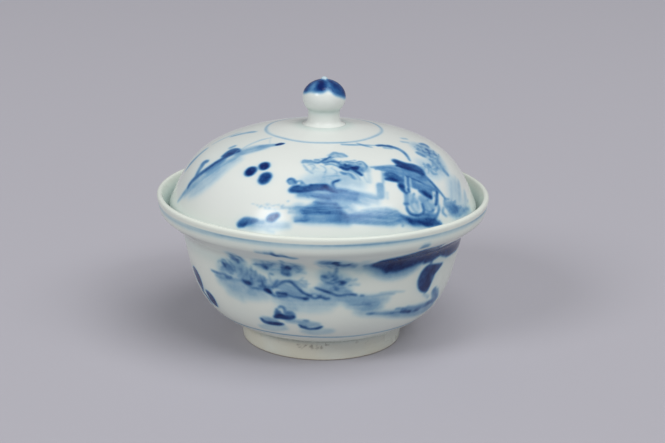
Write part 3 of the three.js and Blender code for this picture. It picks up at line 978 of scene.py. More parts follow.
# A bare branch that bends over the pavilion, ragged leaves beyond it and shrubs at its foot.
LEANING_TREE = (
    line(0.3, 1.2, (14.8, 43.6), (28.8, 42)),
    line(0.3, 1.4, (27.4, 43.4), (29.8, 41.6), (33.6, 39.4)),
    line(0.36, 0.8, (27.5, 42.2), (33, 41.2), (39.5, 39.6)),
    shape(0.68, 0.5, (39.4, 39.6, 1.4), (42.8, 39, 1.6), (46.8, 37.2, 1.7)),
    shape(0.5, 0.7, (46.4, 37.6, 2), (48.4, 35.4, 2), (48.8, 33.4, 1.8), (47.8, 31.2, 1.4),
        (44.8, 27.6, 0.8)),
    line(0.26, 1.3, (41.4, 37.4), (44.8, 36)),
    line(0.2, 1.6, (68.8, 37.6), (71, 36.4)),
    line(0.2, 1.6, (62, 36.8), (64.4, 35.2)),
    shape(0.22, 4.3, (65.5, 31, 6.6), (64.5, 28, 10), (62, 25, 9.6), (59, 22, 8.4)),
    shape(0.15, 4.3, (50, 24.5, 6), (50, 21.5, 8), (53.5, 20, 5.6), (57.5, 18, 2.8)),
    shape(0.56, 0.7, (67.2, 28.4, 1.6), (65, 27.2, 1.1), (60.8, 26.2, 0.7)),
    line(0.46, 2.4, (71, 31), (73.5, 29.5), (71.5, 28.5)),
    line(0.5, 1.5, (61.2, 28.4)),
    line(0.5, 1.6, (66.4, 24.8)),
    line(0.46, 1.4, (59.2, 19.6)),
    line(0.38, 2.6, (56.5, 29), (57, 27.5)),
    line(0.36, 2, (58.6, 18.6), (58.8, 17.2)),
    shape(0.4, 0.6, (57.6, 24.6, 1.4), (57.6, 23.6, 0.9), (54.2, 22.4, 0.5), (51.4, 22.2, 0.5)),
    line(0.36, 0.8, (57.6, 22.4), (56, 21), (52.8, 20)),
    line(0.4, 0.6, (52, 23.6), (50.2, 22), (47.2, 20.4)),
    line(0.36, 1.2, (50.2, 21), (50.2, 19.6), (52.2, 19)),
    shape(0.34, 0.6, (61.6, 23, 1.5), (61.2, 21.6, 1), (58.4, 20.4, 0.7)),
    line(0.32, 0.7, (50.8, 24.8), (49.2, 23.2)),
    line(0.42, 0.9, (46.4, 8.6), (47.6, 10), (49.2, 10), (50.6, 9.6)),
    line(0.4, 4.8, (48, 8), (50, 6.5), (52.5, 5.5)),
    blot(0.42, 0.8, (46.8, 8), (49.8, 6.8), (52.8, 5.6), (56.4, 5.2)),
    line(0.36, 1.3, (45.6, 7.8), (44.4, 6.4), (45.6, 4.8)),
    soft_line(0.46, 1.2, (48.8, 6.2), (50.8, 5.2), (51.6, 4.2)),
    haze(0.32, 3, (52, 4.5), (56.5, 3.5), (62.5, 3)),
    blot(0.42, 0.9, (59, 3.8), (61, 3.2)),
    soft_line(0.42, 0.6, (53, 3.6), (54.8, 3.2)),
    blot(0.24, 1.9, (47.5, 5), (50.5, 3.5), (53.5, 3)),
    shape(0.12, 4.7, (59.5, 14, 5.6), (57, 11, 9.6), (55, 7.5, 9.6)),
    blot(0.16, 1.8, (57.6, 14.4), (54.2, 11.6), (51.2, 8.4)),
    soft_line(0.18, 2.4, (64.5, 13), (60.5, 10.5), (57, 7.5)),
    soft_line(0.17, 2.8, (65, 8.5), (62.5, 6.5), (60, 5)),
    blot(0.14, 1.6, (63.8, 14.8), (58.4, 12), (55, 9)),
)

# Clumps of small leaves on the cover.
COVER_LEAVES = (
    (64, 29.5, 6, 2.5, 26, 0.9, 0.5),
    (64, 26, 6, 2.5, 26, 0.9, 0.5),
    (60, 22, 5, 2.5, 16, 0.9, 0.42),
    (50.5, 23, 3.5, 2.5, 18, 0.8, 0.42),
    (54.5, 21.5, 4, 2, 16, 0.8, 0.42),
    (51.5, 6.5, 6, 2.5, 26, 0.9, 0.46),
    (56.5, 4, 5, 1.5, 14, 0.9, 0.42),
    (11.5, 30, 4, 2, 18, 0.8, 0.56),
    (16, 28.5, 3, 2.5, 14, 0.8, 0.56),
    (3.5, 33.5, 7.5, 2, 14, 0.8, 0.44),
    (5, 25.5, 6.5, 3, 18, 0.8, 0.26),
    (-17.5, 12, 5, 1, 18, 0.4, 0.3),
)

# A low islet with reeds, two trees and a humped bridge, over pale water.
WOODED_ISLET = (
    shape(0.24, 5, (-39.5, 31, 2.4), (-32.5, 30.5, 5.6), (-26.5, 30, 6), (-20.5, 29.5, 3.2)),
    haze(0.16, 3.8, (-35.5, 28), (-30, 27)),
    shape(0.26, 5.4, (-37.5, 35.5, 3.2), (-31.5, 37.5, 6), (-26.5, 35.5, 6.2), (-21.5, 33.5, 3.8)),
    pool(0.2, 5.6, (-30, 43), (-28.5, 40.5)),
    pool(0.24, 7.2, (-20.5, 41.5), (-12, 41), (-8, 41.5)),
    haze(0.34, 4.2, (-19, 32.5), (-14.5, 34), (-5.5, 31.5)),
    haze(0.26, 4.4, (-16, 29), (-9.5, 28.5), (4.5, 28.5)),
    haze(0.14, 4.4, (-14, 26), (-5.5, 26), (2.5, 26)),
    blot(0.56, 1, (-43.6, 33.6), (-39.4, 33.6), (-37.2, 34)),
    soft_line(0.54, 1.9, (-36.2, 33.8), (-35.2, 33.2), (-33.4, 33.6)),
    blot(0.36, 1.7, (-41.4, 32.4), (-37.2, 32.4), (-28.2, 33.6)),
    soft_line(0.67, 1.7, (-36.4, 38.4), (-35.8, 37.8), (-35.2, 37.2)),
    soft_line(0.34, 0.7, (-37.2, 38.8), (-35.6, 39.6)),
    soft_line(0.34, 3.4, (-35, 38), (-33.5, 37), (-33, 36)),
    soft_line(0.43, 1.6, (-32.2, 36.6), (-31.2, 36.8)),
    line(0.43, 2.4, (-30.5, 43.5), (-30.5, 41.5), (-30, 41)),
    soft_line(0.78, 1.2, (-29.2, 41.2), (-29.2, 40.2)),
    soft_line(0.28, 1.6, (-27.6, 43.2), (-27.2, 41.6)),
    blot(0.38, 1.4, (-29.2, 37.8), (-28.4, 37.6)),
    blot(0.34, 1.2, (-24.4, 38.2), (-23.6, 37.8)),
    soft_line(0.25, 0.6, (-23.8, 33.2), (-20, 36.2)),
    soft_line(0.76, 2.2, (-28, 33.5), (-26.5, 33), (-25, 33)),
    soft_line(0.84, 1.3, (-26.8, 33.2), (-25.8, 33.2)),
    blot(0.45, 1.3, (-25.6, 31.4), (-22.8, 31.6), (-20.4, 31.4)),
    blot(0.5, 1.9, (-21.6, 32.8), (-19.8, 32.6), (-17.6, 33.2)),
    soft_line(0.92, 1.9, (-19.8, 31.6), (-18.6, 31.4), (-17.6, 30.8)),
    blot(0.62, 1.2, (-17.6, 30.4), (-16.4, 29.8)),
    line(0.83, 1.2, (-15.2, 31), (-12, 31)),
    blot(0.56, 1.4, (-15, 29.8), (-12, 30.2)),
    haze(0.45, 1.7, (-13.4, 31.8), (-10, 31.6), (-7, 31.2)),
    shape(0.62, 1, (-11.2, 30.6, 1), (-9.6, 30.2, 1), (-8, 30, 1.2), (-5.8, 29.8, 1.2)),
    soft_line(0.76, 1.4, (-5.4, 29.6), (-4.6, 29.8)),
    line(0.85, 1.1, (-5.4, 31.6), (-4.4, 31.2), (-3.2, 30.8)),
    shape(0.62, 0.9, (-3.2, 30.4, 1.2), (-2, 30, 1), (-0.2, 30.4, 0.9), (1.2, 30.2, 1.2)),
    blot(0.62, 1, (1.8, 29.8), (2.8, 30)),
    blot(0.56, 1.1, (-16.8, 32.8), (-14.8, 35.6)),
    line(0.63, 1.1, (-15.6, 33.2), (-13.2, 35.2), (-11.8, 35.8), (-10.4, 35.8), (-9.4, 35.2),
        (-6.4, 32.2), (-5.4, 31.6)),
    blot(0.31, 1.6, (-10.4, 36.2), (-7.6, 35.2), (-5.2, 34.2)),
    soft_line(0.4, 1.3, (-21.6, 41), (-19.6, 40.4)),
    line(0.76, 1.6, (-19, 40.2), (-18.4, 40)),
    blot(0.34, 1.2, (-19.2, 42.8), (-18.6, 41.6)),
    soft_line(0.34, 1.7, (-17.2, 43.2), (-16.8, 41.6), (-15.6, 42.2)),
    soft_line(0.62, 0.9, (-12.6, 42.8), (-13, 38.8)),
    soft_line(0.52, 2.4, (-12, 41.5), (-11.5, 40), (-10.5, 38.5)),
    line(0.83, 1.6, (-11, 41.2), (-10.4, 40.8)),
    blot(0.56, 1.2, (-12.6, 38.6), (-11, 38.2)),
    blot(0.43, 1.2, (-9.4, 41.6), (-8.2, 42.2)),
    blot(0.29, 1.2, (-7.6, 41.2), (-6.2, 40.8)),
    soft_line(0.22, 1, (-6.8, 39.6), (-5.2, 39.4)),
    blot(0.47, 0.9, (-17.2, 38), (-16.4, 37.8)),
    soft_line(0.34, 1.5, (-12.4, 45.2), (-12, 44)),
    line(0.27, 1.6, (-18.6, 50.4), (-16, 50.2)),
    line(0.34, 1.4, (-16, 50.6), (-14.4, 50.2)),
    line(0.78, 1.8, (-14, 50.8), (-13.6, 49.8), (-12.6, 49.2)),
    line(0.56, 1.9, (-13, 49.2), (-11.4, 49.6), (-10, 49.2)),
    line(0.34, 1.9, (-10.4, 49.2), (-8.6, 48.4), (-7.2, 48.4)),
)

# More leaves, on the bowl.
BOWL_LEAVES = (
    (-34, 37.5, 3.5, 2.5, 24, 0.9, 0.5),
    (-30, 41.5, 3, 2, 16, 0.9, 0.52),
    (-25, 35.5, 3.5, 2, 18, 1.3, 0.42, 1.4),
    (-20.5, 34.5, 2.5, 2, 16, 1.3, 0.46, 1.4),
    (-17.5, 41, 3, 2, 18, 0.9, 0.5),
    (-11, 41, 2.5, 2.5, 16, 0.9, 0.56),
    (-7.5, 41, 2, 1.5, 10, 0.9, 0.36),
    (-7, 35, 2.5, 2, 12, 0.9, 0.32),
    (3, 38, 3.5, 2, 20, 0.9, 0.46),
    (5.5, 36, 3, 2, 20, 0.9, 0.5),
    (7, 43.5, 3, 2, 12, 0.9, 0.48),
    (1.5, 44.5, 2, 2, 10, 0.9, 0.42),
    (5, 33, 3.5, 1, 12, 0.8, 0.46),
    (-1, 31, 2.5, 1, 10, 0.8, 0.46),
)

# A clump of reeds on a low bank that trails off to the right in pale water.
REED_BED = (
    pool(0.26, 6.4, (0.5, 45.5), (4.5, 44), (10, 43)),
    haze(0.26, 5.4, (1.5, 39), (5, 37.5), (8.5, 35.5)),
    haze(0.32, 3.6, (0.5, 34.5), (4.5, 33.5), (9, 32.5)),
    haze(0.28, 3, (-3, 32.5), (7.5, 30), (14.5, 29.5)),
    haze(0.26, 4.2, (6.5, 29.5), (13, 28.5), (23.5, 28)),
    haze(0.3, 4, (10.5, 27.5), (15.5, 27), (21, 26.5)),
    haze(0.26, 3.6, (13.5, 25.5), (18, 25), (22, 25)),
    haze(0.2, 3.2, (13, 24), (18.5, 23), (24, 22)),
    blot(0.25, 1.2, (15.2, 30), (18.8, 29.8), (22.6, 30), (26.8, 29.6)),
    soft_line(0.16, 0.9, (21, 30.8), (25.8, 30.4), (31.2, 29.6)),
    line(0.45, 0.6, (11.4, 27.2), (18, 26.8)),
    soft_line(0.43, 0.5, (14.6, 27.8), (19.8, 27.4)),
    soft_line(0.43, 0.6, (16.4, 26.2), (20.6, 25.8)),
    line(0.4, 2.8, (0.5, 45.5), (3.5, 45)),
    shape(0.74, 1, (4.5, 45, 2.8), (5, 44.5, 2), (5.5, 43, 1.2)),
    soft_line(0.56, 2.2, (5.5, 43.5), (7.5, 43), (9, 43.5)),
    soft_line(0.31, 2, (9.2, 43), (10.6, 42.4)),
    blot(0.47, 1.1, (5, 41.6), (5, 40)),
    soft_line(0.67, 1.3, (0.4, 38.4), (1.2, 38.2), (1.6, 37.8)),
    soft_line(0.47, 0.7, (2.4, 38.4), (2.4, 37.4)),
    soft_line(0.45, 0.9, (4, 38), (4.4, 37.2)),
    soft_line(0.38, 0.9, (5.2, 38), (6, 36.8)),
    soft_line(0.74, 1.5, (6.4, 36.4), (7.2, 36), (8, 35.8)),
    blot(0.34, 1.2, (8.4, 37), (9.6, 37)),
    soft_line(0.22, 1, (10.4, 36.4), (11.8, 36.8)),
    soft_line(0.2, 1, (11.2, 35.2), (12.8, 34.8)),
    soft_line(0.45, 0.9, (2, 36.2), (2.8, 35.6)),
    soft_line(0.45, 0.8, (3.6, 35.6), (4.6, 34.8)),
    soft_line(0.52, 0.9, (5, 34.2), (6, 33.8)),
    soft_line(0.34, 1, (0.6, 37), (1.6, 35.6)),
    blot(0.69, 1, (-1.8, 34), (-0.8, 33.6), (2.6, 32.4), (5.2, 31.2), (6.8, 31), (8.6, 31)),
    blot(0.69, 1, (8, 31.4), (11, 31.2), (12.4, 30.8)),
    soft_line(0.34, 0.8, (8.4, 32.8), (10.4, 32.2)),
    blot(0.81, 0.9, (1.2, 32.8), (2.6, 32.4)),
    soft_line(0.63, 0.7, (14, 30.6), (14.8, 30.4)),
)

# Three small boats low on the belly, one of them covered, with their wakes.
BOATS = (
    soft_line(0.29, 3, (-22, 19.5), (-19.5, 19), (-17, 19)),
    pool(0.15, 4.2, (-24.5, 14.5), (-20, 15), (-14.5, 16)),
    blot(0.24, 2, (-12.5, 20), (-6, 20)),
    blot(0.2, 2.2, (-13, 25.5), (-9, 25.5)),
    soft_line(0.26, 3, (-7.5, 19.5), (-4.5, 19), (-1, 19)),
    pool(0.15, 4.2, (-6.5, 15), (-2, 15), (4, 15.5)),
    line(0.81, 1.8, (-23.2, 19), (-22.4, 18), (-20.8, 17.6), (-16.6, 17.8), (-14.8, 18)),
    soft_line(0.85, 1.2, (-19.8, 17.4), (-17.6, 17.6)),
    line(0.87, 2.2, (-17, 21), (-15.5, 21.5), (-11.5, 21.5), (-10, 22)),
    line(0.94, 1.6, (-16.4, 21.8), (-14.6, 22.2)),
    soft_line(0.55, 2.2, (-12.6, 23.2), (-11, 23.4), (-10, 23)),
    blot(0.66, 0.9, (-16.6, 23), (-16, 24.4)),
    soft_line(0.66, 1.2, (-16.4, 22.8), (-15.2, 23.4)),
    blot(0.57, 0.9, (-15.2, 25.2), (-14.4, 25.8), (-13.6, 25.6), (-13, 24.8), (-13.2, 23.8)),
    line(0.7, 1.3, (-8, 18.4), (-7, 17.6), (-5.8, 17), (-4.2, 16.6), (-2.4, 16.8), (-0.8, 17.2),
        (0.4, 18)),
    soft_line(0.55, 1.5, (-7.2, 17.6), (-6, 17.6)),
    blot(0.46, 1, (-6, 20.6), (-4.8, 20.6)),
)

# A dark cliff under the ledge, a hanging gourd, and a shore with a post below.
OVERHANG_WASHES = (
    (0.88, 2.8, 0.05,
        ((16.5, 42), (18.5, 44.5), (21, 45.5), (28.5, 47), (33, 48.5)),
        ((16.5, 42), (18, 40.5), (23, 38), (26, 37.5), (36.5, 39), (38.5, 39.5))),
    (0.88, 1.2, 0.08,
        ((39, 44), (41, 45.5), (44, 46.5), (48.5, 46.5), (56, 45.5), (63, 43.5), (70, 41), (76, 38.5)),
        ((42.5, 38.5), (44, 39), (47, 39.5), (52, 37.5), (62, 37), (70, 37.5), (76, 38.5))),
)

OVERHANG = (
    haze(0.36, 4, (15, 41.5), (19, 39.5), (24, 37.5), (29.5, 37.5), (34.5, 38.5)),
    haze(0.17, 4, (12.5, 41.5), (14, 44)),
    soft_line(0.97, 4.4, (22, 41), (28, 41.5)),
    blot(0.88, 2.2, (22.5, 39), (23.5, 39.5)),
    blot(0.73, 2.4, (17, 42), (18.5, 42)),
    soft_line(0.84, 3.2, (33, 42), (36.5, 42)),
    line(0.53, 1.5, (30, 50.8), (31.2, 51.2), (32.8, 51.2)),
    line(0.71, 1.7, (40.4, 42.4), (42, 39.8), (42.2, 38.2)),
    haze(0.34, 3, (67, 40), (76, 38.5), (84, 37.5)),
    shape(0.88, 1, (49.5, 35.5, 1.2), (42.5, 34, 6.4), (41.5, 33, 8.8), (41.5, 31, 7.2),
        (43, 27.5, 2.4)),
    shape(0.96, 1.2, (42, 33, 2.2), (42.5, 31, 2.8), (43, 29, 2.8)),
    blot(0.23, 1.2, (42.2, 26), (45.8, 23.8)),
    shape(0.32, 3.2, (24, 22, 2), (31, 20.5, 3.2), (38.5, 19.5, 4.8), (46.5, 18.5, 6.4), (53.5, 18, 4)),
    soft_line(0.48, 1.2, (17.2, 23), (18.4, 22.8), (20, 22.8)),
    blot(0.36, 1.2, (20, 22.6), (28.8, 21.4)),
    soft_line(0.44, 1.3, (26.8, 21.8), (30.6, 21.4)),
    line(0.76, 1.9, (32, 21.2), (34.2, 20.8), (37.2, 20)),
    soft_line(0.58, 1.3, (36, 20), (39.2, 19.4), (42.4, 19.2)),
    blot(0.48, 0.9, (29.2, 23), (30.8, 22.8)),
    blot(0.53, 1.2, (32, 22.4), (34.2, 21.8)),
    blot(0.38, 1.9, (34.6, 22.4), (38.8, 21.2), (43.2, 21)),
    line(0.48, 2.6, (40.5, 20), (48, 20.5), (51.5, 20.5)),
    soft_line(0.53, 1.4, (47.2, 20.6), (51, 20.4)),
    line(0.44, 3, (49, 25.5), (53, 20)),
    line(0.42, 2.4, (51.5, 24.5), (55.5, 20)),
)

# Three dark ovals at the left edge of the view.
LEFT_STONES = (
    shape(0.84, 0.7, (-52.5, 22.5, 1.9), (-50.5, 21, 4.8), (-50, 20, 5), (-49, 18.5, 2.4)),
    shape(0.86, 0.7, (-62, 28.5, 1.8), (-59.5, 27.5, 5.4), (-58, 26, 6), (-57, 22.5, 2)),
    line(0.8, 1.5, (-58.6, 21.2), (-55.6, 19.8), (-54.8, 18.2), (-54.4, 16.8)),
)

# A far bank on the bowl's back: tone, softness, streaks and then (round, up, width) points
FAR_BANK = (
    (0.45, 0.45, 0.3, (84, 22, 1), (100, 20.6, 1.8), (118, 21.4, 1.4), (132, 20.6, 0.8)),
    (0.26, 1.6, 0.5, (90, 18, 2.5), (108, 16.6, 3.5), (126, 17.4, 2.5)),
)

# Lines turned round the pot: millimetres up the outline, width and tone
FOOT_LINE = (11.0, 0.7, 0.5)
RIM_LINE = (54.6, 0.8, 0.47)
CROWN_LINE = (45.3, 1.0, 0.3)

# How the ink creeps into the glaze: narrow and broad blur in millimetres, and share of the broad one
BOWL_BLEED = (0.25, 1.4, 0.12)
COVER_BLEED = (0.2, 1.1, 0.12)


# Far hills: heights in millimetres; a wash is tone, softness and streaks, a crest tone and softness
LOW_HILL = 5
HIGH_HILL = 7
LOW_HILL_WASH = (0.24, 0.8, 0.4)
HIGH_HILL_WASH = (0.3, 0.8, 0.4)
HILL_CREST = (0.3, 0.7)


def far_hills(p, x, y, wide):
    """Two overlapping hills in pale wash with a darker crest."""
    left, right = x - wide, x + wide
    low_top, high_start, high_top = x - wide / 3, x - wide / 4, x + wide / 3
    foot = ((left, y - 1), (right, y - 1))
    peak = y + HIGH_HILL
    p.wash(*LOW_HILL_WASH, ((left, y), (low_top, y + LOW_HILL), (high_top, y + 1)), foot)
    p.wash(*HIGH_HILL_WASH, ((high_start, y), (high_top, peak), (right, y)), foot)
    p.brush(((high_start, y + 0.4, 0.6), (high_top, peak, 0.9), (right, y, 0.5)), *HILL_CREST)


def paint_bowl(p):
    """The bowl's river scene: the front after the photo, and its motifs carried round the back."""
    p.band(*FOOT_LINE)
    p.band(*RIM_LINE, soft=0.6)
    p.washes(OVERHANG_WASHES)
    for table in (WOODED_ISLET, REED_BED, BOATS, OVERHANG, LEFT_STONES):
        p.strokes(table)
    p.leaves(BOWL_LEAVES)
    p.place(shift=118, flip=-1.0)
    p.strokes(WOODED_ISLET)
    p.place(shift=-112, lift=1.0)
    p.strokes(REED_BED)
    p.strokes(BOATS)
    p.place()
    far_hills(p, 98, 38, 12)
    far_hills(p, -92, 37, 11)
    p.strokes(FAR_BANK)
    p.bleed(*BOWL_BLEED)


def paint_cover(p):
    """The cover's shore scene: the front after the photo, and its motifs carried round the back."""
    p.band(*CROWN_LINE, soft=0.7)
    p.washes(WATER_BANK_WASHES)
    p.washes(PAVILION_WASHES)
    front = (SLOPING_SHORE, THREE_STONES, NEAR_ROCKS, WATER_BANK, CLOUD_TREES, PAVILION, LEANING_TREE)
    for table in front:
        p.strokes(table)
    p.leaves(COVER_LEAVES)
    p.place(shift=130, flip=-1.0)
    p.washes(WATER_BANK_WASHES)
    p.strokes(WATER_BANK)
    p.strokes(CLOUD_TREES)
    p.place(shift=-138)
    p.strokes(CLOUD_TREES)
    p.strokes(WATER_BANK)
    p.place(shift=-68, lift=-6)
    p.strokes(THREE_STONES)
    p.place()
    far_hills(p, 160, 30, 13)
    p.bleed(*COVER_BLEED)


# The knob's cap of blue: lengths in millimetres, turns in radians from the front
CAP_MIDDLE = 4.0  # from the neck's top up to the bud's middle
CAP_RISE = 1.4  # from there to the usual level of the cap's edge
CAP_TILT = 1.9  # how far the edge rises and falls round the bud
CAP_TURN = 0.45  # how far left of the front it is highest
CAP_LIFT = (1.0, 0.24, 0.22)  # one place where the edge is higher: height, turn, reach
CAP_SAGS = ((0.7, 1.1, 0.4), (0.5, -1.15, 0.4))  # two where it hangs lower
CAP_WAVER = 0.12  # height of the edge's small waves
CAP_WAVES = 7  # of them in once round
CAP_WAVE_START = 1.0  # radians
CAP_FADE = 2.2  # over which the edge fades
CAP_TONE = 0.86
CAP_CLOUDS = 0.06  # uneven tone
CLOUD_WAVES = 5  # of it in once round
DARK_STREAK = (0.14, -0.25, 0.35)  # change of tone, turn, reach
PALE_STREAK = (0.14, 0.42, 0.25)
PALE_PATCH = (0.3, -0.8, 0.28)
PALE_PATCH_LEVEL = 4.4  # above the bud's middle
PALE_PATCH_REACH = 1.2
NIB = 1.2  # height of the tip that is left pale
NIB_FADE = 0.7
NIB_BARE = 0.85  # share of the ink that the tip lacks


def knob_cap(turn, high, middle):
    """Ink of the knob's cap: an edge that tilts, lifts and sags, cloudy blue above it and a pale tip."""
    sag = sum(bell(turn, *place) for place in CAP_SAGS)
    edge = middle + CAP_RISE + CAP_TILT * np.cos(turn + CAP_TURN) + bell(turn, *CAP_LIFT) - sag
    edge += CAP_WAVER * np.sin(turn * CAP_WAVES + CAP_WAVE_START)
    patch = bell(turn, *PALE_PATCH) * bell(high, 1.0, middle + PALE_PATCH_LEVEL, PALE_PATCH_REACH)
    pale = patch + bell(turn, *PALE_STREAK)
    clouds = CAP_CLOUDS * np.sin(turn * CLOUD_WAVES + high)
    cloudy = CAP_TONE + bell(turn, *DARK_STREAK) + clouds - pale
    cap = eased((high - edge) / CAP_FADE + 0.5) * cloudy
    return cap * (1 - NIB_BARE * rising(high, high.max() - NIB, NIB_FADE))


# Materials


class Sheet:
    """A material's node sheet, with short ways to add and join nodes."""

    def __init__(self, name):
        self.material = bpy.data.materials.new(name)
        self.material.use_nodes = True
        self.tree = self.material.node_tree
        self.shader = self.tree.nodes["Principled BSDF"]
        coordinates = self.tree.nodes.new("ShaderNodeTexCoord")
        self.place = coordinates.outputs["Object"]

    def node(self, kind, **settings):
        """Adds a node; plain settings are its own, and linked or valued inputs go by name or number."""
        made = self.tree.nodes.new(kind)
        inputs = settings.pop("inputs", {})
        for key, value in settings.items():
            setattr(made, key, value)
        for key, value in inputs.items():
            if isinstance(value, bpy.types.NodeSocket):
                self.tree.links.new(value, made.inputs[key])
            else:
                made.inputs[key].default_value = value
        return made

    def mark(self, name):
        """A number kept on the vertices."""
        return self.node("ShaderNodeAttribute", attribute_name=name).outputs["Fac"]

    def noise(self, scale, detail=2.0, roughness=0.5):
        """Cloudy noise in object space."""
        made = self.node(
            "ShaderNodeTexNoise",
            inputs={"Vector": self.place, "Scale": scale, "Detail": detail, "Roughness": roughness},
        )
        return made.outputs["Fac"]

    def sum(self, kind, first, second):
        """Arithmetic on two numbers."""
        return self.node("ShaderNodeMath", operation=kind, inputs={0: first, 1: second}).outputs[0]

    def span(self, value, low, high, to_low=0.0, to_high=1.0):
        """Maps a range smoothly to another."""
        made = self.node(
            "ShaderNodeMapRange",
            interpolation_type="SMOOTHSTEP",
            inputs={"Value": value, 1: low, 2: high, 3: to_low, 4: to_high},
        )
        return made.outputs[0]

    def between(self, share, first, second):
        """A number between two others, by a share."""
        made = self.node("ShaderNodeMix", data_type="FLOAT", inputs={0: share, 2: first, 3: second})
        return made.outputs[0]

    def blend(self, share, first, second, kind="MIX"):
        """Two colours mixed or multiplied by a share."""
        made = self.node("ShaderNodeMix", data_type="RGBA", blend_type=kind)
        for number, value in ((0, share), (6, first), (7, second)):
            if isinstance(value, bpy.types.NodeSocket):
                self.tree.links.new(value, made.inputs[number])
            else:
                made.inputs[number].default_value = value if number == 0 else (*value, 1.0)
        return made.outputs[2]

    def ramp(self, value, stops):
        """A colour scale given as (place, screen colour) stops."""
        made = self.node("ShaderNodeValToRGB", inputs={"Fac": value})
        marks = made.color_ramp.elements
        for mark, (place, tint) in zip(marks, (stops[0], stops[-1])):
            mark.position, mark.color = place, (*linear(*tint), 1)
        for place, tint in stops[1:-1]:
            marks.new(place).color = (*linear(*tint), 1)
        return made.outputs["Color"]

    def bump(self, height, strength, distance):
        """Gives the surface a relief."""
        inputs = {"Strength": strength, "Distance": distance, "Height": height}
        self.join(self.node("ShaderNodeBump", inputs=inputs).outputs[0], "Normal")

    def join(self, output, name):
        """Joins an output to the shader's input of that name."""
        self.tree.links.new(output, self.shader.inputs[name])


# What the blue lets through, from no ink to the heaviest: multiplies the glaze under it
COVER_BLUE = (
    (0.0, (255, 255, 255)),
    (0.12, (219, 237, 251)),
    (0.3, (152, 193, 229)),
    (0.5, (98, 151, 206)),
    (0.7, (52, 105, 169)),
    (0.85, (24, 71, 140)),
    (1.0, (4, 36, 108)),
)
BOWL_BLUE = (
    (0.0, (255, 255, 255)),
    (0.12, (214, 233, 246)),
    (0.3, (154, 190, 224)),
    (0.5, (98, 143, 195)),
    (0.7, (49, 91, 152)),
    (0.85, (23, 58, 123)),
    (1.0, (4, 32, 94)),
)

# Noises: cells per metre, and where they aren't the usual ones, layers of detail and their roughness
MOTTLE = (450, 4.0, 0.65)  # patchy ink
SLOW_TINT = (22,)  # change of the glaze's tint
SHINE = (60,)
RIPPLE = (85,)
FINE_RIPPLE = (420, 1.0)
FOOT_CLOUD = (40, 3.0)
GRIT = (900, 3.0, 0.7)
BURNT = (1100,)
SPECK_CELLS = 75  # cells per metre, of which a few hold an iron speck

# Spans: a noise from low to high, and what that stands for, 0 to 1 where nothing else is given
INK_PATCHES = (0.25, 0.75, 0.86, 1.08)  # share of the ink that shows
TINT_CHANGE = (0.4, 0.7, 0.0, 0.16)  # pooled tint on open surfaces
SPECK_CHOICE = (0.965, 0.97)  # cells above this hold a speck
SPECK_EDGE = (0.02, 0.05, 1.0, 0.0)  # where a speck fades, in cells
GLAZE_ROUGHNESS = (0.3, 0.7, 0.15, 0.21)
CREAM_PATCHES = (0.35, 0.7)  # from the foot's glaze to the bowl's
GRIT_PATCHES = (0.4, 0.75)  # from bare clay to rust
BURNT_PATCHES = (0.35, 0.6, 0.35, 1.0)  # share of the burnt specks that shows
FOOT_ROUGHNESS = (0.3, 0.7, 0.16, 0.3)

# The glaze
SPECK_TONE = 0.6
FINE_RIPPLE_SHARE = 0.12  # of the fine ripple in the whole
RIPPLE_STRENGTH = 0.12
RIPPLE_HEIGHT = 0.0006
BARE_ROUGHNESS = 0.7
GLAZE_INDEX = 1.47  # how strongly the glaze bends light
GLAZE_MIRROR = 0.3  # how strongly it mirrors

# The foot
GRIT_SHARE = 0.75  # share of plain clay over the gritty one
PAD_ROUGHNESS = 0.85
GRIT_STRENGTH = 0.25
GRIT_HEIGHT = 0.0004


def glazed(name, colours, clear, scale):
    """Clear glaze over white body: blue painting, deeper tint in hollows for thick glaze and painted shade,
    specks and bare edges.
    """
    s = Sheet(name)
    mottle = s.noise(*MOTTLE)
    ink = s.sum("MULTIPLY", s.mark("ink"), s.span(mottle, *INK_PATCHES))
    blue = s.ramp(ink, scale)
    # The pool mark is thick glaze and painted shade in the hollows; a slow noise adds a little of its tint
    # elsewhere
    depth = s.sum("ADD", s.mark("pool"), s.span(s.noise(*SLOW_TINT), *TINT_CHANGE))
    white = s.blend(depth, tuple(clear), tuple(colours.pooled_glaze_and_shade))
    painted = s.blend(1.0, white, blue, "MULTIPLY")
    cells = s.node("ShaderNodeTexVoronoi", inputs={"Vector": s.place, "Scale": SPECK_CELLS})
    lot = s.node("ShaderNodeSeparateColor", inputs={0: cells.outputs["Color"]}).outputs[0]
    spot = s.span(cells.outputs["Distance"], *SPECK_EDGE)
    dot = s.sum("MULTIPLY", spot, s.span(lot, *SPECK_CHOICE))
    speck = s.sum("MAXIMUM", s.sum("MULTIPLY", dot, SPECK_TONE), s.mark("rust"))
    specked = s.blend(speck, painted, tuple(colours.rust))
    bare = s.mark("bare")
    s.join(s.blend(bare, specked, tuple(colours.bare)), "Base Color")
    shine = s.span(s.noise(*SHINE), *GLAZE_ROUGHNESS)
    s.join(s.between(bare, shine, BARE_ROUGHNESS), "Roughness")
    fine_ripple = s.sum("MULTIPLY", s.noise(*FINE_RIPPLE), FINE_RIPPLE_SHARE)
    s.bump(s.sum("ADD", s.noise(*RIPPLE), fine_ripple), RIPPLE_STRENGTH, RIPPLE_HEIGHT)
    s.shader.inputs["IOR"].default_value = GLAZE_INDEX
    s.shader.inputs["Specular IOR Level"].default_value = GLAZE_MIRROR
    return s.material


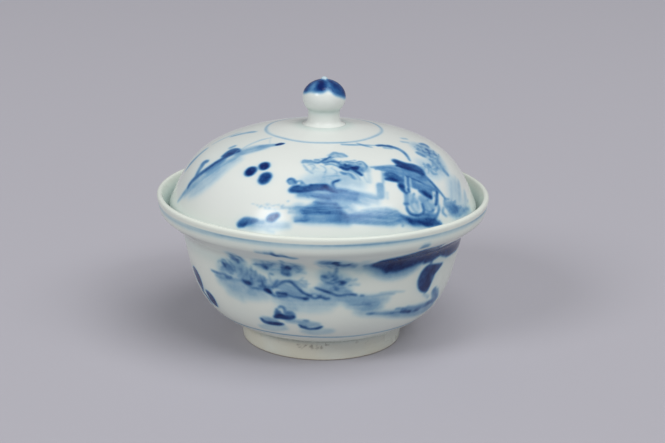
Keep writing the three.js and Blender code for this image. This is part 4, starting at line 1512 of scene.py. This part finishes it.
def foot_glazed(name, colours):
    """Thin cream glaze over the foot, bare and gritty on the resting face, with burnt specks and a dark
    resting edge that is partly painted contact shadow.
    """
    s = Sheet(name)
    cloud = s.noise(*FOOT_CLOUD)
    cream = s.blend(s.span(cloud, *CREAM_PATCHES), tuple(colours.foot), tuple(colours.bowl))
    # The pool mark darkens the top of the foot under the belly: thick glaze and painted shade
    tinted = s.blend(s.mark("pool"), cream, tuple(colours.pooled_glaze_and_shade))
    bare = s.mark("bare")
    grit = s.noise(*GRIT)
    gritty = s.blend(s.span(grit, *GRIT_PATCHES), tuple(colours.bare), tuple(colours.rust))
    base = s.blend(bare, tinted, s.blend(GRIT_SHARE, gritty, tuple(colours.bare)))
    patches = s.span(s.noise(*BURNT), *BURNT_PATCHES)
    # Burnt specks and the dark resting edge, which is partly painted contact shadow, take the rust colour
    burnt_and_contact_shadow = s.sum("MULTIPLY", s.mark("rust"), patches)
    s.join(s.blend(burnt_and_contact_shadow, base, tuple(colours.rust)), "Base Color")
    shine = s.span(cloud, *FOOT_ROUGHNESS)
    s.join(s.between(bare, shine, PAD_ROUGHNESS), "Roughness")
    s.bump(grit, GRIT_STRENGTH, GRIT_HEIGHT)
    return s.material


def settle(piece, material, body, node):
    """Gives a piece its finish and sets it on its body in place of its solid."""
    piece.data.materials.append(material)
    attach(piece, body)
    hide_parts(node)


def hollow(length_mm, middles, reach):
    """Depth of a darker tint near given places along an outline, fading over reach millimetres: thick glaze
    in hollows, and painted shade where they lie under or between parts.
    """
    return sum(bell(length_mm, depth, at, reach) for at, depth in middles)


# Operators

OFF_CANVAS = 1e3  # millimetres up: where vertices are put that no stroke may reach
CANVAS_MARGIN = 0.5  # millimetres past the end of the outside that strokes still reach

# Shares of the texture map that a stretch of outline gets for its length
OPEN_MAP = 1.0
EDGE_MAP = 0.6
INSIDE_MAP = 0.3
HIDDEN_MAP = 0.2

# The bowl body: rings, where they crowd (millimetres up, times closer), and where the tint of thick glaze
# and painted shade lies (up, depth)
BOWL_SEED = 11
BASE_RINGS = (0.25, 0.5, 0.8)  # shares of the foot's radius
BOWL_RINGS = 134
BOWL_CROWD = (10, 50, 2.4)
LIP_RINGS = 11
BOWL_INSIDE_RINGS = 40
# Painted shade with the thick glaze: just above the foot, under the ledge, and deepest in the gallery where
# the cover sits
BOWL_HOLLOWS = ((39.5, 0.45), (2, 0.5), (63.5, 0.9), (66, 0.8))
BOWL_POOL_AND_SHADE_REACH = 3.0


class COVEREDBOWL_OT_body(bpy.types.Operator):
    """Turns the bowl body with its galleried rim and paints it"""

    bl_idname = "covered_bowl.body"
    bl_label = "Bowl body"

    def execute(self, context):
        sizes, colours = context.scene.bowl_sizes, context.scene.glaze_colours
        curves = bowl_curves(sizes)
        outside, start = curves["outside"], curves["start"][0]
        under = np.array([[start * share, sizes.foot_height] for share in (0.0, *BASE_RINGS)])
        stretches = [
            (under[:-1], QUARTER_COLUMNS, HIDDEN_MAP),
            (under[-1:], HALF_COLUMNS, HIDDEN_MAP),
            (evened(outside, BOWL_RINGS, BOWL_CROWD), COLUMNS, OPEN_MAP),
            (evened(curves["lip"], LIP_RINGS), HALF_COLUMNS, EDGE_MAP),
            (evened(curves["inside"], BOWL_INSIDE_RINGS), QUARTER_COLUMNS, INSIDE_MAP),
        ]
        piece, turn, up, radius, columns = turned("bowl_body", stretches)
        up = up - start / MM
        end = travelled(outside)[-1] / MM + CANVAS_MARGIN
        paint = Brushwork(turn, np.where(up > end, OFF_CANVAS, up), radius, columns, BOWL_SEED)
        paint_bowl(paint)
        pooled_glaze_and_shade = hollow(up, BOWL_HOLLOWS, BOWL_POOL_AND_SHADE_REACH)
        store(piece, ink=paint.ink, pool=pooled_glaze_and_shade, rust=0.0, bare=0.0)
        glaze = glazed("bowl_glaze", colours, colours.bowl, BOWL_BLUE)
        settle(piece, glaze, "bowl", "bowl_body")
        return {"FINISHED"}


# The foot ring: rings, then levels above the table and the reach of each change, in millimetres
GRIT_SEED = 29
INNER_SLOPE = np.radians(-82)
OUTER_SLOPE = np.radians(83)
FOOT_INSIDE_RINGS = 12
FOOT_OUTSIDE_RINGS = 16
BEVEL_RINGS = 7
PAD_RINGS = 5
BARE_LEVEL = (0.55, 0.5)
# The top of the foot, under the belly, gets a darker tint: thick glaze and painted shade
FOOT_POOL_AND_SHADE_LEVEL = (5.4, 2.0)
FOOT_POOL_AND_SHADE_DEPTH = 0.5
TOP_WEAR = (6.3, 0.9)
TOP_WEAR_TONE = 0.3
# The dark line along the resting edge is partly the burnt bare edge and partly painted contact shadow
CONTACT_BURN_AND_SHADOW = (0.5, 0.3)
CONTACT_BURN_AND_SHADOW_TONE = 0.45

# Grit on the foot's outside: places round and up, spread, count, size and tone
FOOT_SKIN = 0.0012  # metres in from the outside that grit reaches
FRONT_GRIT = (
    (-13.5, 5.6),
    (-11.4, 4.7),
    (-9, 5.6),
    (-6, 5.4),
    (-4.3, 4.7),
    (-2, 4.8),
    (0.7, 5),
    (3, 6),
    (22.2, 6.1),
)
FRONT_GRIT_BRUSH = ((1.2, 0.35), 4, 0.42, 0.85)
LOOSE_GRIT = 16
LOOSE_GRIT_LEVEL = 5.6
LOOSE_GRIT_ROUND = 150
LOOSE_GRIT_BRUSH = ((1.2, 0.8), 2, 0.25, 0.45)


class COVEREDBOWL_OT_foot(bpy.types.Operator):
    """Turns the foot ring with its wiped resting face"""

    bl_idname = "covered_bowl.foot"
    bl_label = "Foot ring"

    def execute(self, context):
        s, colours = context.scene.bowl_sizes, context.scene.glaze_colours
        outer, height, bevel = s.foot_diameter / 2, s.foot_height, s.foot_bevel
        pad_outer, pad_inner = outer - s.foot_taper, outer - s.foot_wall + s.foot_inner_taper
        inside = np.array([[outer - s.foot_wall, height], [pad_inner, bevel]])
        pad = np.array([[pad_inner + bevel, 0.0], [pad_outer - bevel, 0.0]])
        outside = np.array([[pad_outer, bevel], [outer, height]])
        outline = chained(
            evened(inside, FOOT_INSIDE_RINGS),
            sweep(inside[1], INNER_SLOPE, pad[0], 0.0, FOOT_PULLS, BEVEL_RINGS),
            evened(pad, PAD_RINGS),
            sweep(pad[1], 0.0, outside[0], OUTER_SLOPE, FOOT_PULLS, BEVEL_RINGS),
            evened(outside, FOOT_OUTSIDE_RINGS),
            evened(np.array([outside[1], inside[0]]), PAD_RINGS)[:-1],
        )
        stretches = [(outline, HALF_COLUMNS, OPEN_MAP)]
        piece, turn, up, radius, columns = turned("foot_ring", stretches, closed=True)
        high = heights(piece)
        skin = np.where(radius > (outer - FOOT_SKIN), high, OFF_CANVAS)
        grit = Brushwork(turn, skin, radius, columns, GRIT_SEED)
        for place in FRONT_GRIT:
            grit.dabs(place, *FRONT_GRIT_BRUSH)
        for x in grit.chance.uniform(-LOOSE_GRIT_ROUND, LOOSE_GRIT_ROUND, LOOSE_GRIT):
            grit.dabs((x, LOOSE_GRIT_LEVEL), *LOOSE_GRIT_BRUSH)
        # The rust mark holds the grit, the dark joint line at the top and the resting edge's line, which is
        # partly painted contact shadow
        worn_and_contact_shadow = TOP_WEAR_TONE * rising(high, *TOP_WEAR) + CONTACT_BURN_AND_SHADOW_TONE * falling(high, *CONTACT_BURN_AND_SHADOW)
        rust = np.maximum(grit.ink, worn_and_contact_shadow)
        pooled_glaze_and_shade = FOOT_POOL_AND_SHADE_DEPTH * rising(high, *FOOT_POOL_AND_SHADE_LEVEL)
        store(piece, rust=rust, bare=falling(high, *BARE_LEVEL), pool=pooled_glaze_and_shade)
        settle(piece, foot_glazed("foot_glaze", colours), "bowl", "foot_ring")
        return {"FINISHED"}


# The cover dome
COVER_SEED = 23
DOME_RINGS = 144
DOME_CROWD = (0, 46, 2.4)
EDGE_RINGS = 9
COVER_INSIDE_RINGS = 36
CROWN_RADIUS = 0.0185  # inside this the columns halve
CROWN_RINGS = 8  # rings next to the knob, where they halve again
UNDER_KNOB = 0.003  # radius of a ring under the knob
# Painted shade with the thick glaze: at the cover's edge where it sinks into the gallery, and beside the
# knob
COVER_HOLLOWS = ((57.5, 0.6), (0.5, 0.35))
COVER_POOL_AND_SHADE_REACH = 2.5
WIPED_PLACE = 0.55  # share of the rounded edge, from the dome, where the glaze is wiped off
WIPED_EDGE = (1.35, 0.5)  # half the width of the wiped line and the reach of its fade


class COVEREDBOWL_OT_cover(bpy.types.Operator):
    """Turns the domed cover with its rounded edge and paints it"""

    bl_idname = "covered_bowl.cover"
    bl_label = "Cover dome"

    def execute(self, context):
        sizes, colours = context.scene.cover_sizes, context.scene.glaze_colours
        curves = cover_curves(sizes, context.scene.bowl_sizes)
        crown, edge = curves["crown"], curves["edge"]
        dome = evened(curves["dome"], DOME_RINGS, DOME_CROWD)
        shoulder = int(np.argmin(np.abs(dome[:, 0] - CROWN_RADIUS)))
        inside = evened(curves["inside"], COVER_INSIDE_RINGS)
        top = np.concatenate([dome[-CROWN_RINGS:], [[UNDER_KNOB, crown], [0, crown]]])
        stretches = [
            (inside, QUARTER_COLUMNS, INSIDE_MAP),
            (evened(edge, EDGE_RINGS), HALF_COLUMNS, EDGE_MAP),
            (dome[:shoulder], COLUMNS, OPEN_MAP),
            (dome[shoulder:-CROWN_RINGS], HALF_COLUMNS, OPEN_MAP),
            (top, QUARTER_COLUMNS, OPEN_MAP),
        ]
        piece, turn, up, radius, columns = turned("cover_dome", stretches)
        edge_length = travelled(edge)[-1] / MM
        up = up - (travelled(inside)[-1] / MM + edge_length)
        canvas = np.where(up < -CANVAS_MARGIN, OFF_CANVAS, up)
        paint = Brushwork(turn, canvas, radius, columns, COVER_SEED)
        paint_cover(paint)
        pooled_glaze_and_shade = hollow(up, COVER_HOLLOWS, COVER_POOL_AND_SHADE_REACH)
        wiped = falling(np.abs(up + edge_length * WIPED_PLACE), *WIPED_EDGE)
        store(piece, ink=paint.ink, pool=pooled_glaze_and_shade, rust=0.0, bare=wiped)
        glaze = glazed("cover_glaze", colours, colours.cover, COVER_BLUE)
        settle(piece, glaze, "cover", "cover_dome")
        return {"FINISHED"}


# The knob
FLARE_RINGS = 14
NECK_RINGS = 5
BUD_RINGS = 46
TIP_RINGS = 9
NECK_POOL_AND_SHADE = 0.6  # depth of the darker tint under the bud: thick glaze and painted shade
NECK_POOL_AND_SHADE_REACH = 1.2


class COVEREDBOWL_OT_knob(bpy.types.Operator):
    """Turns the bud knob and paints its cap"""

    bl_idname = "covered_bowl.knob"
    bl_label = "Cover knob"

    def execute(self, context):
        sizes, colours = context.scene.cover_sizes, context.scene.glaze_colours
        crown = cover_curves(sizes, context.scene.bowl_sizes)["crown"]
        flare, bud, tip = knob_curve(sizes, crown)
        base = np.array([[0, crown], [sizes.knob_base / 4, crown]])
        neck = np.array([flare[-1], bud[0]])
        stretches = [
            (base, HALF_KNOB_COLUMNS, HIDDEN_MAP),
            (evened(flare, FLARE_RINGS), KNOB_COLUMNS, OPEN_MAP),
            (evened(neck, NECK_RINGS), KNOB_COLUMNS, OPEN_MAP),
            (evened(bud, BUD_RINGS), KNOB_COLUMNS, OPEN_MAP),
            (evened(tip, TIP_RINGS), HALF_KNOB_COLUMNS, OPEN_MAP),
        ]
        piece, turn, *_ = turned("cover_knob", stretches)
        high = heights(piece)
        neck_top = (crown + sizes.neck_height) / MM
        pooled_glaze_and_shade = bell(high, NECK_POOL_AND_SHADE, neck_top, NECK_POOL_AND_SHADE_REACH)
        store(piece, ink=knob_cap(turn, high, neck_top + CAP_MIDDLE), pool=pooled_glaze_and_shade, rust=0.0, bare=0.0)
        glaze = glazed("knob_glaze", colours, colours.cover, COVER_BLUE)
        settle(piece, glaze, "cover", "cover_knob")
        return {"FINISHED"}


# The stage: ways from the bowl to the lamps, the point they look at, and plain finishes
LEFT_LAMP_WAY = np.array([-0.58, -0.60, 0.55])
RIGHT_LAMP_WAY = np.array([0.52, -0.54, 0.67])
TOP_LAMP_WAY = np.array([0.24, -0.33, 0.87])
AIM = np.array([0.0, 0.0, 0.05])
FLOOR_ROUGHNESS = 0.9
FLOOR_MIRROR = 0.1
FILL_TINT = (0.97, 0.98, 1.0)
BACKDROP = (140, 139, 145)  # what the camera and the glaze see beyond the floor, as on a screen
SENSOR_WIDTH = 36.0  # millimetres
CLIP_START = 0.01
CLIP_END = 50


def make_floor(scene, s):
    """A plain pale floor under the bowl."""
    half = s.floor_size / 2
    mesh = bpy.data.meshes.new("floor")
    corners = [(-half, -half, 0), (half, -half, 0), (half, half, 0), (-half, half, 0)]
    mesh.from_pydata(corners, [], [(0, 1, 2, 3)])
    floor = bpy.data.objects.new("floor", mesh)
    scene.collection.objects.link(floor)
    sheet = Sheet("floor_paper")
    sheet.shader.inputs["Base Color"].default_value = (*s.floor, 1)
    sheet.shader.inputs["Roughness"].default_value = FLOOR_ROUGHNESS
    sheet.shader.inputs["Specular IOR Level"].default_value = FLOOR_MIRROR
    mesh.materials.append(sheet.material)


def make_lamps(scene, s):
    """Three broad soft lamps that look at the bowl."""
    lamps = (
        ("left_lamp", LEFT_LAMP_WAY, s.lamp_distance, s.left_width, s.left_height, s.left_power),
        ("right_lamp", RIGHT_LAMP_WAY, s.lamp_distance, s.right_width, s.right_height, s.right_power),
        ("top_lamp", TOP_LAMP_WAY, s.top_distance, s.top_size, s.top_size, s.top_power),
    )
    for name, way, distance, width, height, power in lamps:
        light = bpy.data.lights.new(name, "AREA")
        light.shape = "ELLIPSE"
        light.size, light.size_y, light.energy = width, height, power
        lamp = bpy.data.objects.new(name, light)
        place = AIM + way / np.linalg.norm(way) * distance
        lamp.location = place
        lamp.rotation_euler = Vector(AIM - place).to_track_quat("-Z", "Y").to_euler()
        scene.collection.objects.link(lamp)


def make_fill(scene, s):
    """Soft light from all round, with a plain grey backdrop for the camera and the glaze to see."""
    world = bpy.data.worlds.new("fill")
    world.use_nodes = True
    nodes, links = world.node_tree.nodes, world.node_tree.links
    fill = nodes["Background"]
    fill.inputs["Color"].default_value = (*FILL_TINT, 1)
    fill.inputs["Strength"].default_value = s.sky
    backdrop = nodes.new("ShaderNodeBackground")
    backdrop.inputs["Color"].default_value = (*linear(*BACKDROP), 1)
    path, either = nodes.new("ShaderNodeLightPath"), nodes.new("ShaderNodeMixShader")
    seen = path.outputs["Is Camera Ray"]
    for kind in ("Is Glossy Ray", "Is Transmission Ray"):
        more = nodes.new("ShaderNodeMath")
        more.operation = "MAXIMUM"
        links.new(seen, more.inputs[0])
        links.new(path.outputs[kind], more.inputs[1])
        seen = more.outputs[0]
    links.new(seen, either.inputs[0])
    links.new(fill.outputs[0], either.inputs[1])
    links.new(backdrop.outputs[0], either.inputs[2])
    links.new(either.outputs[0], nodes["World Output"].inputs[0])
    scene.world = world


def make_camera(scene, s):
    """The camera, level but for its pitch and a slight lean."""
    lens = bpy.data.cameras.new("camera")
    lens.sensor_fit, lens.sensor_width, lens.lens = "HORIZONTAL", SENSOR_WIDTH, s.camera_lens
    lens.clip_start, lens.clip_end = CLIP_START, CLIP_END
    camera = bpy.data.objects.new("camera", lens)
    camera.location = s.camera_place
    camera.rotation_mode = "ZYX"
    camera.rotation_euler = (np.pi / 2 - s.camera_pitch, 0, s.camera_roll)
    scene.collection.objects.link(camera)
    scene.camera = camera


class COVEREDBOWL_OT_stage(bpy.types.Operator):
    """Sets the floor, three soft lamps, the fill light and the camera"""

    bl_idname = "covered_bowl.stage"
    bl_label = "Stage"

    def execute(self, context):
        scene, settings = context.scene, context.scene.stage_settings
        for make in (make_floor, make_lamps, make_fill, make_camera):
            make(scene, settings)
        scene.view_settings.view_transform = "Standard"
        return {"FINISHED"}


class COVEREDBOWL_PT_panel(bpy.types.Panel):
    """Lists the pieces and their sizes"""

    bl_idname = "COVEREDBOWL_PT_panel"
    bl_label = "Covered bowl"
    bl_space_type = "VIEW_3D"
    bl_region_type = "UI"
    bl_category = "Covered bowl"

    def draw(self, context):
        for made in PIECES:
            self.layout.operator(made.bl_idname)
        for name in GROUPS:
            group = getattr(context.scene, name)
            box = self.layout.box()
            for key in group.__annotations__:
                box.prop(group, key)


PIECES = (
    COVEREDBOWL_OT_body,
    COVEREDBOWL_OT_foot,
    COVEREDBOWL_OT_cover,
    COVEREDBOWL_OT_knob,
    COVEREDBOWL_OT_stage,
)
GROUPS = {
    "bowl_sizes": BowlSizes,
    "cover_sizes": CoverSizes,
    "glaze_colours": GlazeColours,
    "stage_settings": StageSettings,
}


def register():
    """Makes the settings, operators and panel known."""
    for made in (*GROUPS.values(), *PIECES, COVEREDBOWL_PT_panel):
        bpy.utils.register_class(made)
    for name, group in GROUPS.items():
        setattr(bpy.types.Scene, name, bpy.props.PointerProperty(type=group))


def unregister():
    """Takes them away again."""
    for name in GROUPS:
        delattr(bpy.types.Scene, name)
    for made in (COVEREDBOWL_PT_panel, *reversed(PIECES), *reversed(tuple(GROUPS.values()))):
        bpy.utils.unregister_class(made)


def main():
    """Registers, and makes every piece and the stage."""
    register()
    bpy.ops.covered_bowl.body()
    bpy.ops.covered_bowl.foot()
    bpy.ops.covered_bowl.cover()
    bpy.ops.covered_bowl.knob()
    bpy.ops.covered_bowl.stage()


if __name__ == "__main__":
    main()
